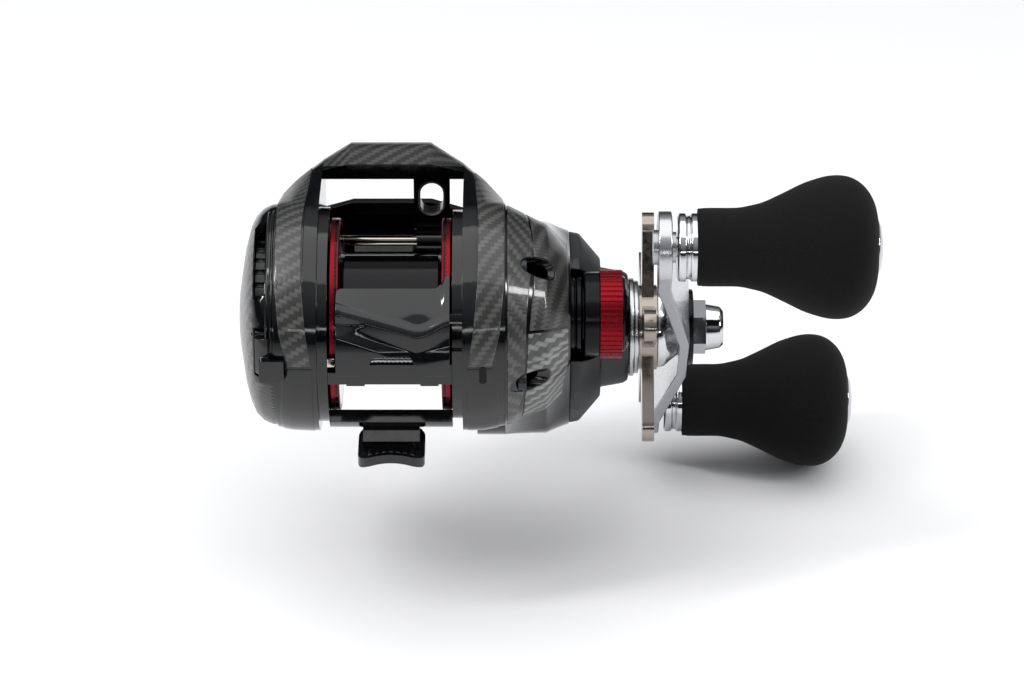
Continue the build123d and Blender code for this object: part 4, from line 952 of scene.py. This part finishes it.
@dataclass
class Shoulders:
    """The covers beside the spool: gloss black shells, each with a carbon band over the top."""

    band_start: float = -14.0
    band_end: float = 177.0
    lower_end: float = 238.0
    lower_reach: tuple[float, ...] = (19.8, 21.0, 21.6, 21.2)
    slot: tuple[float, float, float] = (182.0, 4.6, 0.75)
    slot_place: float = 18.1
    arc_per_degree: float = 22.8 / 57.3
    shell_mm: float = 0.35
    raise_mm: float = 0.14
    angles: tuple[float, ...] = (-14.0, 40.0, 100.0, 135.0, 160.0, 177.0)
    inner: tuple[float, ...] = (16.0, 16.4, 17.2, 17.1, 16.2, 15.2)
    outer: tuple[float, ...] = (21.6, 22.0, 22.3, 22.3, 21.4, 19.9)

    def build(self) -> None:
        """Makes both shells, their carbon bands and lower panels, and the right one's slot."""
        rounded_copy("left_shoulder_cover", "shell_left_shoulder", FINISH.gloss_black, 0.3)
        rounded_copy("right_shoulder_cover", "shell_right_shoulder", FINISH.gloss_black, 0.3)
        go_with(self.drain_slot(), "right_shoulder_cover")
        for side, node in ((-1, "left_shoulder_cover"), (1, "right_shoulder_cover")):
            go_with(self.lower(side), node)
            band = self.band(side)
            go_with(lay_weave(band, Weave.AROUND_BODY, 12.0 * side), node)

    def raised(self, x: float, turn: float) -> float:
        """The radius of what is laid on the shoulders."""
        return float(BODY.radius(x, turn)[0]) + self.raise_mm

    def lower(self, side: int) -> bpy.types.Object:
        """The plain gloss panel below a carbon band.

        Args:
            side: minus one for the palm side, one for the handle side.

        Returns:
            The panel as a thin raised shell.
        """
        turns = np.linspace(self.band_end + 1.2, self.lower_end, 60)
        reach = np.interp(turns, (178.0, 186.0, 215.0, self.lower_end), self.lower_reach)
        rows = surface_rows(turns, np.full(len(turns), side * 15.0), side * reach, 10, self.raised)
        name = "gloss_lower_left" if side < 0 else "gloss_lower_right"
        panel = skin(name, rows, self.shell_mm, FINISH.gloss_black, 0.0)
        return bevel(panel, 0.1, 2, 40.0)

    def drain_slot(self) -> bpy.types.Object:
        """The small drain slot below the right carbon band: a dark inlay with round ends, a painted shadow
        standing in for the recess.

        Returns:
            The inlay.
        """
        middle, length, half = self.slot
        turns = np.linspace(middle - length, middle + length, 31)
        along = np.abs(turns - middle) * self.arc_per_degree
        straight = length * self.arc_per_degree - half
        end = np.maximum(along - straight, 0) / (half * 1.002)
        width = half * np.sqrt(np.clip(1 - end ** 2, 0.01, 1))
        rows = surface_rows(turns, self.slot_place - width, self.slot_place + width, 5,
                            lambda x, turn: self.raised(x, turn) + 0.03)
        # Painted shadow: the inlay's near-black finish stands in for the shade in the slot's recess.
        return skin("painted_shadow_drain_slot", rows, 0.2, FINISH.slot_shadow, 0.0)

    def band(self, side: int) -> bpy.types.Object:
        """The carbon band of one side.

        Args:
            side: minus one for the palm side, one for the handle side.

        Returns:
            The band as a thin raised shell.
        """
        turns = np.linspace(self.band_start, self.band_end, 150)
        first = side * np.interp(turns, self.angles, self.inner)
        last = side * np.interp(turns, self.angles, self.outer)
        rows = surface_rows(turns, first, last, 11, self.raised)
        name = "carbon_band_left" if side < 0 else "carbon_band_right"
        return skin(name, rows, self.shell_mm, FINISH.carbon, 0.1)


@dataclass
class Hood:
    """The carbon hood over the line opening."""

    edge_mm: float = 0.25
    seam: float = 29.6
    view: float = 30.0
    lip_depth: float = 28.0

    def build(self) -> None:
        """Makes the hood: carbon above a straight seam, gloss black on the lip below it."""
        hood = rounded_copy("front_hood", "carbon_front_hood", FINISH.carbon, self.edge_mm)
        lift = math.radians(self.view)
        across = Vector((0, math.sin(lift), math.cos(lift)))
        place = Vector((0, 0, SPOOL_HEIGHT * MM)) + across * self.seam * MM
        work = bmesh.new()
        work.from_mesh(hood.data)
        whole = [*work.verts, *work.edges, *work.faces]
        bmesh.ops.bisect_plane(work, geom=whole, plane_co=place, plane_no=across, dist=1e-7)
        work.to_mesh(hood.data)
        work.free()
        split_finish(hood, FINISH.gloss_black,
                     lambda middle, normal: middle.dot(across) < self.seam and middle[1] < self.lip_depth)
        lay_weave(hood, Weave.AROUND_BODY)


@dataclass
class PalmSide:
    """The palm side: domed plate, brake housing, dial and release lever."""

    face_radius: float = 18.6
    rib_start: float = 84.0
    rib_end: float = 171.0
    rim_places: tuple[float, ...] = (22.4, 23.4, 25.2)
    rim_radii: tuple[float, ...] = (21.9, 21.8, 21.0)
    rib_edges: tuple[Point, ...] = ((22.62, 23.15), (23.55, 24.1))
    rib_height: float = 0.2

    def build(self) -> None:
        """Makes the plate with carbon on its face and gloss round it, and the parts in it."""
        plate = rounded_copy("palm_side_plate", "shell_palm_side", FINISH.gloss_black, 0.3)
        split_finish(plate, FINISH.carbon, self.is_carbon)
        lay_weave(plate, Weave.FACE_ON, 20.0)
        for number, (first, last) in enumerate(self.rib_edges):
            go_with(self.rib(number, first, last), "palm_side_plate")
        rounded_copy("brake_housing", "moulded_brake_housing", FINISH.nylon_black, 0.15)
        rounded_copy("brake_dial", "moulded_brake_dial", FINISH.satin_black, 0.12)
        rounded_copy("side_plate_lever", "shell_release_lever", FINISH.gloss_black, 0.3)
        paint("spool_bearing_left", FINISH.ground_steel)

    def rib(self, number: int, first: float, last: float) -> bpy.types.Object:
        """A fine raised rib that runs over the plate's rim.

        Args:
            number: which rib it is.
            first: its nearer edge from the middle of the reel.
            last: its farther edge.

        Returns:
            The rib.
        """
        turns = np.linspace(self.rib_start, self.rib_end, 90)
        rows = np.zeros((len(turns), 7, 3))
        for j, share in enumerate(np.linspace(0, 1, 7)):
            x = first + (last - first) * share
            rim = float(np.interp(x, self.rim_places, self.rim_radii))
            radius = rim + 0.05 + self.rib_height * math.sin(math.pi * share)
            for i, turn in enumerate(turns):
                rows[i, j] = (-x, *at_height(polar(radius, turn)))
        return skin(f"palm_rib_{number}", rows, 0.25, FINISH.gloss_black, 0.0)

    def is_carbon(self, middle: Vector, normal: Vector) -> bool:
        """Whether a face of the plate belongs to its carbon inlay.

        Args:
            middle: the face's middle about the spool axis.
            normal: the face's normal.

        Returns:
            True for a carbon face.
        """
        radius = math.hypot(middle[1], middle[2])
        angle = math.degrees(math.atan2(middle[2], middle[1])) % 360
        patch = 190 < angle < 236 and -26.6 < middle[0] < -22.9 and radius > 16
        return normal[0] < 0.2 and (radius < self.face_radius and middle[0] < -26.0 or patch)


@dataclass(frozen=True)
class Panel:
    """A piece of carbon laid on the gear cover."""

    name: str
    first_angle: float
    last_angle: float
    inner: tuple[float, ...]
    outer: tuple[float, ...]
    turn: float
    finish: Finish


@dataclass
class GearSide:
    """The handle side: gear cover with carbon panels, its screws and the boss that the handle turns in."""

    stations: tuple[float, ...] = (22.4, 30.6, 35.2)
    spool_radii: tuple[float, ...] = (21.7, 17.6, 12.0)
    drive_radii: tuple[float, ...] = (21.7, 21.4, 19.5)
    screw_places: tuple[Point, ...] = (polar(18.0, 121.0), polar(19.0, 193.0), polar(19.0, -42.0, DRIVE))
    raise_mm: float = 0.12
    recess_radius: float = 2.35

    def radius(self, x: float, angles: np.ndarray) -> np.ndarray:
        """The cover's distance from the spool axis.

        Args:
            x: place along the axis.
            angles: directions in degrees from forward.

        Returns:
            The distance in each direction.
        """
        spool = float(np.interp(x, self.stations, self.spool_radii))
        drive = float(np.interp(x, self.stations, self.drive_radii))
        return belt_radius([(0.0, 0.0, spool), (*DRIVE, drive)], angles)

    def panels(self) -> list[Panel]:
        """The three panels and where they run.

        Returns:
            Each panel, with its inner and outer edge at even steps of angle.
        """
        return [
            Panel("carbon_panel_crescent", 62.0, 244.0, (22.9, 22.9, 22.9, 22.9, 22.9),
                  (26.0, 28.0, 26.6, 26.0, 23.6), 80.0, FINISH.carbon),
            Panel("carbon_panel_upper", 50.0, 160.0, (26.2, 27.6, 28.2, 27.2), (34.6, 34.8, 34.8, 34.8), 35.0,
                  FINISH.carbon),
            Panel("carbon_panel_inset", 162.0, 238.0, (27.0, 26.5, 25.9), (34.8, 34.8, 33.6), -28.0,
                  FINISH.carbon_bold),
        ]

    def panel(self, kind: Panel) -> bpy.types.Object:
        """One raised carbon panel, with the screw recesses cut out of it.

        Args:
            kind: which panel.

        Returns:
            The panel.
        """
        turns = np.linspace(kind.first_angle, kind.last_angle, 120)
        marks = np.linspace(kind.first_angle, kind.last_angle, len(kind.inner))
        rows = surface_rows(turns, np.interp(turns, marks, kind.inner),
                            np.interp(turns, marks, kind.outer), 22,
                            lambda x, turn: float(self.radius(x, np.array([turn]))[0]) + self.raise_mm)
        made = skin(kind.name, rows, 0.3, kind.finish, 0.0)
        for number, place in enumerate(self.screw_places):
            ends = [(20.0, self.recess_radius), (40.0, self.recess_radius)]
            cut_away(made, lathe(f"cutter_{number}", ends, at_height(place), kind.finish, 40))
        return bevel(lay_weave(made, Weave.AROUND_BODY, kind.turn), 0.06, 2, 45.0)

    def build(self) -> None:
        """Makes the cover, its panels, screws, boss and collar."""
        rounded_copy("gear_side_cover", "shell_gear_cover", FINISH.gloss_black, 0.3)
        for kind in self.panels():
            go_with(self.panel(kind), "gear_side_cover")
        rounded_copy("side_cover_screws", "blackened_cover_screws", FINISH.black_steel, 0.12)
        rounded_copy("gear_side_boss", "moulded_gear_boss", FINISH.matt_grey, 0.35)
        rounded_copy("cast_collar", "turned_cast_collar", FINISH.black_anodised, 0.15)


# ---------------------------------------------------------------- thumb bar
@dataclass
class ThumbBar:
    """The thumb bar behind the spool: a folded, gloss black plate with an arch in its lower edge."""

    left: float = -10.4
    right: float = 11.7
    inner: float = 19.6
    skirt: float = 21.25
    bottom_angle: float = 182.0
    arch_angle: float = 171.5
    arch_middle: float = 0.5
    columns: int = 120

    def front_angle(self, x: float) -> float:
        """Where the front edge lies, with the horn at its right end.

        Args:
            x: place along the bar.

        Returns:
            The edge's angle in degrees.
        """
        places = (self.left, -9.6, 9.0, 10.0, 10.8, self.right)
        return float(np.interp(x, places, (137.2, 136, 136, 133.5, 129.0, 127.6)))

    def ridge_angle(self, x: float) -> float:
        """Where the ridge lies: falling to the right, then rising to the end.

        Args:
            x: place along the bar.

        Returns:
            The ridge's angle in degrees.
        """
        near = x + np.linspace(-1.8, 1.8, 13)
        line = np.interp(near, (self.left, 6.0, self.right), (144.9, 158.2, 150.4))
        return float(line.mean())

    def bottom(self, x: float) -> float:
        """Where the lower edge lies, with its arch.

        Args:
            x: place along the bar.

        Returns:
            The edge's angle in degrees.
        """
        away = abs(x - self.arch_middle)
        corner = 0.0 if x < self.right - 1.0 else 2.0 * (x - self.right + 1.0) ** 2
        return float(np.interp(away, (3.4, 6.2), (self.arch_angle, self.bottom_angle))) - corner

    def profile(self, x: float) -> list[tuple[float, float]]:
        """The bar's closed section.

        Args:
            x: place along the bar.

        Returns:
            The radius and angle of each corner.
        """
        front, ridge, bottom = self.front_angle(x), self.ridge_angle(x), self.bottom(x)
        lip = self.inner + 0.75
        points = [(self.inner, front + 0.6), (self.inner + 0.35, front), (lip, front + 0.3)]
        for share in np.linspace(0.1, 0.96, 10):
            points.append((lip + (22.5 - lip) * share - 0.1 * math.sin(math.pi * share),
                           front + 0.3 + (ridge - front - 0.3) * share))
        fold = float(np.interp(x, (self.left, 5.0, self.right), (5.2, 4.2, 3.0)))
        points += [(22.62, ridge), (22.78, ridge + 0.5), (23.1, ridge + fold * 0.5), (23.36, ridge + fold)]
        start = ridge + fold
        upper = float(np.interp(x, (self.left, 5.2, self.right), (154.5, 169.5, 166.0)))
        lower = 161.5 - (x - self.left) * 0.9
        for share in np.linspace(0.05, 1.0, 30):
            angle = start + (bottom - start) * share
            radius = float(np.interp(angle, (start, 169.0, self.bottom_angle), (23.4, 23.45, 23.2)))
            sunk = 0.075 * min(max(0.0, angle - start), 8.0)
            proud = 0.085 * min(max(0.0, angle - upper), 7.0)
            notch = 0.11 * max(0.0, min(angle - start, lower - angle)) if x < -4.5 else 0.0
            points.append((min(radius, radius - sunk + proud - notch), angle))
        points += [(points[-1][0] - 0.3, bottom + 0.2), (self.skirt + 0.15, bottom + 0.2),
                   (self.skirt, bottom - 0.2)]
        lift = min(160.0, bottom - 2.0)
        points += [(self.skirt, lift + 1.0), (self.inner, lift - 2.0), (self.inner, front + 4.0)]
        return points

    def build(self) -> None:
        """Makes the bar and the lug that holds it in the side plate."""
        columns = np.linspace(self.left, self.right, self.columns)
        rows = []
        for index, x in enumerate(columns):
            ring = []
            for radius, angle in self.profile(float(x)):
                y, z = polar(radius, angle)
                ring.append((x, y, z + SPOOL_HEIGHT))
            rows.append(ring)
        width = len(rows[0])
        faces = grid_faces(len(rows), width, False, True)
        faces += [tuple(range(width)), tuple(range((len(rows) - 1) * width, len(rows) * width))]
        bar = make_object("gloss_thumb_bar", np.array(rows).reshape(-1, 3), faces, FINISH.gloss_black)
        stand_in(bevel(bar, 0.14, 2, 38.0), "thumb_bar")
        low, high = self.right - 0.1, FRAME.box("thumb_bar")[1][0]
        corners = [(19.9, 150.3), (21.3, 150.3), (21.35, 153.0), (21.3, 155.7), (19.9, 155.7), (19.85, 153.0)]
        ring = [(x, *at_height(polar(r, a))) for x in (low, high - 0.15, high) for r, a in corners]
        lug = make_object("thumb_bar_lug", np.array(ring), grid_faces(3, 6, False, True)
                          + [tuple(range(6)), tuple(range(12, 18))], FINISH.gloss_black)
        go_with(bevel(lug, 0.12, 2, 30.0), "thumb_bar")


# ---------------------------------------------------------------- spool and line guide
@dataclass
class SpoolUnit:
    """The spool: black anodised arbor, red anodised rims, on a steel shaft with the brake rotor."""

    radius: float = 19.0
    half_width: float = 10.0
    flange: float = 2.0

    def build(self) -> None:
        """Makes the spool and its rims from turned profiles."""
        outer = self.half_width + self.flange
        rounded_copy("spool", "turned_spool", FINISH.black_mirror, 0.1, 30.0)
        for side in (-1, 1):
            rim = [(self.half_width + 0.02, self.radius - 1.9), (self.half_width - 0.02, self.radius - 0.35),
                   (self.half_width + 0.12, self.radius - 0.02), (outer - 0.3, self.radius + 0.02),
                   (outer + 0.02, self.radius - 0.3), (outer + 0.03, self.radius - 1.4),
                   (outer - 0.5, self.radius - 1.9)]
            band = lathe(f"red_rim_{'left' if side < 0 else 'right'}", [(side * x, r) for x, r in rim],
                         (0.0, SPOOL_HEIGHT), FINISH.red_anodised, 160, closed=True)
            go_with(bevel(band, 0.06, 2, 30.0), "spool")
        paint("spool_shaft", FINISH.ground_steel)
        rounded_copy("brake_rotor", "moulded_brake_rotor", FINISH.nylon_black, 0.1)


@dataclass
class LineGuide:
    """The line guide on its worm: moulded carriage with a ceramic eye."""

    def build(self) -> None:
        """Makes the carriage, the eye and the parts it runs on."""
        rounded_copy("line_guide", "moulded_line_guide", FINISH.gloss_black, 0.3)
        rounded_copy("eyelet", "ceramic_eye_ring", FINISH.ceramic, 0.35, 40.0, 4)
        paint("pawl", FINISH.cut_brass)
        paint("worm_shaft", FINISH.polished_steel)
        paint("worm_gear", FINISH.acetal_white)
        paint("level_drive_gear", FINISH.acetal_white)


# ---------------------------------------------------------------- gears, clutch and drag stack
@dataclass
class DriveTrain:
    """The gears, clutch and drag stack inside the handle side."""

    def build(self) -> None:
        """Gives the inner parts their finishes."""
        for node in ("main_gear", "pinion_gear"):
            paint(node, FINISH.cut_brass)
        for node in ("drive_shaft", "drag_plates", "roller_sleeve", "clutch_springs", "knob_bearings"):
            paint(node, FINISH.ground_steel)
        paint("drag_washers", FINISH.drag_fibre)
        paint("clutch_yoke", FINISH.nylon_black)


# ---------------------------------------------------------------- handle side, outside
@dataclass
class StarDrag:
    """The star drag wheel: a turned hub with five plain arms in gunmetal plate."""

    def build(self) -> None:
        """Makes the star, the washers and the dome beside it."""
        rounded_copy("star_drag", "plated_star_drag", FINISH.gunmetal, 0.35, 30.0, 3)
        rounded_copy("spring_washers", "turned_spring_washers", FINISH.satin_silver, 0.15)
        rounded_copy("dome_washer", "polished_dome_washer", FINISH.chrome, 0.15)


@dataclass
class Handle:
    """The swept handle: satin silver arm, black disc, chrome nut and knob posts."""

    def build(self) -> None:
        """Makes the arm and what holds it."""
        rounded_copy("handle_arm", "anodised_handle_arm", FINISH.satin_silver, 0.35, 30.0, 3)
        rounded_copy("nut_disc", "anodised_nut_disc", FINISH.black_anodised, 0.15)
        rounded_copy("handle_nut", "chrome_handle_nut", FINISH.chrome, 0.22, 30.0, 3)
        paint("knob_posts", FINISH.ground_steel)


@dataclass
class Knob:
    """One foam knob with its chrome ferrule and cap."""

    side: str
    start: float = 59.6
    bore: float = 5.0
    profile: tuple[Point, ...] = ((0.0, 7.45), (0.8, 7.6), (8.0, 7.6), (12.5, 8.6), (16.5, 10.5),
                                  (20.5, 12.5),
                                  (24.5, 13.75), (27.2, 14.0), (29.6, 13.6), (31.6, 12.4), (33.2, 10.6),
                                  (34.3, 8.2), (34.6, 6.4))

    def smooth_profile(self) -> list[Point]:
        """The knob's profile with many more points on a smooth line.

        Returns:
            (x, radius) corners in millimetres.
        """
        places = np.array(self.profile)
        steps = np.concatenate([[0], np.cumsum(np.linalg.norm(np.diff(places, axis=0), axis=1))])
        fine = np.linspace(0, steps[-1], 120)
        rough = np.stack([np.interp(fine, steps, places[:, 0]), np.interp(fine, steps, places[:, 1])], 1)
        for _ in range(14):
            rough[1:-1] = rough[1:-1] * 0.5 + (rough[:-2] + rough[2:]) * 0.25
        return [(self.start + float(x), float(r)) for x, r in rough]

    def build(self) -> None:
        """Makes the grip as a foam piece, the ferrule and the cap."""
        grip_node = f"knob_grip_{self.side}"
        centre = FRAME.centre(f"knob_ferrule_{self.side}")
        low = FRAME.box(grip_node)[0][0]
        outer = self.smooth_profile()
        profile = [(low + 0.4, self.bore), (low, self.bore + 0.2), *outer, (outer[-1][0] - 0.6, self.bore)]
        grip = lathe(f"foam_grip_{self.side}", profile, centre, FINISH.foam, 128, closed=True)
        stand_in(grip, grip_node)
        rounded_copy(f"knob_ferrule_{self.side}", f"chrome_ferrule_{self.side}", FINISH.chrome, 0.2, 30.0, 3)
        rounded_copy(f"knob_cap_{self.side}", f"chrome_cap_{self.side}", FINISH.chrome, 0.2, 30.0, 3)


@dataclass
class CastControl:
    """The cast control cap with its red knurled grip."""

    def build(self) -> None:
        """Makes the cap and the grip ring."""
        rounded_copy("cast_cap", "turned_cast_cap", FINISH.black_anodised, 0.15)
        rounded_copy("cast_grip_ring", "red_grip_ring", FINISH.red_anodised, 0.08)


# ---------------------------------------------------------------- studio
@dataclass
class Studio:
    """A pale floor, soft lights and the camera."""

    floor_mm: float = -36.0
    distance_mm: float = 890.0
    lens_mm: float = 158.0
    aim_x: float = 23.76
    aim_drop: float = 5.35
    tilt: float = 30.0

    def build(self) -> None:
        """Adds the floor, the world, the lights and the camera."""
        self.floor()
        self.world()
        self.light("overhead_softbox", (0, 60, 900), (0, 20, 0), 1500, 1100, 7.2)
        self.light("left_strip", (-330, -120, 330), (0, 0, 20), 36, 300, 1.3)
        self.light("right_strip", (430, -160, 300), (40, 0, 20), 36, 260, 0.9)
        self.light("rear_strip", (40, -420, 130), (20, 0, 20), 360, 16, 0.12)
        self.camera()

    def floor(self) -> None:
        """A broad pale sheet that the object hangs just above."""
        size = 6000.0
        points = np.array([(-size, -size, self.floor_mm), (size, -size, self.floor_mm),
                           (size, size, self.floor_mm), (-size, size, self.floor_mm)])
        paper = GrainFinish("Paper_StudioSweep", "#f1f1f2", roughness=0.7, grain_mm=3.0, bump_mm=0.01,
                            spread=0.05)
        sheet = make_object("studio_floor", points, [(0, 1, 2, 3)], paper, smooth=False)
        sheet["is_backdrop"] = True

    @staticmethod
    def world() -> None:
        """A surround that darkens from a pale ceiling to a grey horizon, so glossy black keeps its depth."""
        world = bpy.data.worlds.new("studio")
        bpy.context.scene.world = world
        world.use_nodes = True
        tree = world.node_tree
        split = add_node(tree, "SeparateXYZ", {}, {0: add_node(tree, "TexCoord").outputs["Generated"]})
        height = add_node(tree, "MapRange", {}, {"Value": split.outputs[2], "From Min": 0.22,
                                                 "From Max": 0.85})
        shade = add_node(tree, "Mix", {"data_type": "RGBA"}, {
            0: height.outputs[0], 6: linear("#2a2c2f"), 7: linear("#e4e5e8")}).outputs[2]
        tree.links.new(shade, tree.nodes["Background"].inputs["Color"])
        tree.nodes["Background"].inputs["Strength"].default_value = 0.75

    @staticmethod
    def light(name: str, place: tuple[float, float, float], aim: tuple[float, float, float], width: float,
              height: float, power: float) -> None:
        """Adds a soft rectangular light.

        Args:
            name: its name.
            place: where it is, in millimetres.
            aim: what it points at, in millimetres.
            width: its width in millimetres.
            height: its height in millimetres.
            power: watts.
        """
        data = bpy.data.lights.new(name, "AREA")
        data.shape = "RECTANGLE"
        data.size = width * MM
        data.size_y = height * MM
        data.energy = power
        lamp = bpy.data.objects.new(name, data)
        lamp.location = Vector(place) * MM
        lamp.rotation_euler = (Vector(aim) - Vector(place)).to_track_quat("-Z", "Y").to_euler()
        bpy.context.scene.collection.objects.link(lamp)

    def camera(self) -> None:
        """Adds the camera, looking forward and down at the reel from behind."""
        turn = math.radians(self.tilt)
        up = Vector((0, math.sin(turn), math.cos(turn)))
        forward = Vector((0, math.cos(turn), -math.sin(turn)))
        aim = Vector((self.aim_x, 0, SPOOL_HEIGHT)) - up * self.aim_drop
        data = bpy.data.cameras.new("camera")
        data.sensor_width = 36.0
        data.lens = self.lens_mm
        data.clip_start, data.clip_end = 0.01, 50.0
        camera = bpy.data.objects.new("camera", data)
        camera.location = (aim - forward * self.distance_mm) * MM
        camera.rotation_mode = "QUATERNION"
        camera.rotation_quaternion = forward.to_track_quat("-Z", "Y")
        bpy.context.scene.collection.objects.link(camera)
        bpy.context.scene.camera = camera


def corners() -> list[list[float]]:
    """The shown object's lowest and highest corner, as plain lists."""
    return [[float(v) for v in corner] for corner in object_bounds()]


def main() -> None:
    """Builds every sub-assembly in order, then the studio."""
    logging.basicConfig(level=logging.INFO, format="%(message)s")
    FRAME.load()
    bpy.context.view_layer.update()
    units = (FrameParts(), FootGrip(), Shoulders(), Hood(), PalmSide(), GearSide(), ThumbBar(), SpoolUnit(),
             LineGuide(), DriveTrain(), StarDrag(), Handle(), Knob("upper"), Knob("lower"), CastControl())
    for unit in units:
        LOG.info("building %s", type(unit).__name__)
        unit.build()
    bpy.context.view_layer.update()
    Studio().build()
    bpy.context.scene.view_settings.view_transform = "Standard"


if __name__ == "__main__":
    main()
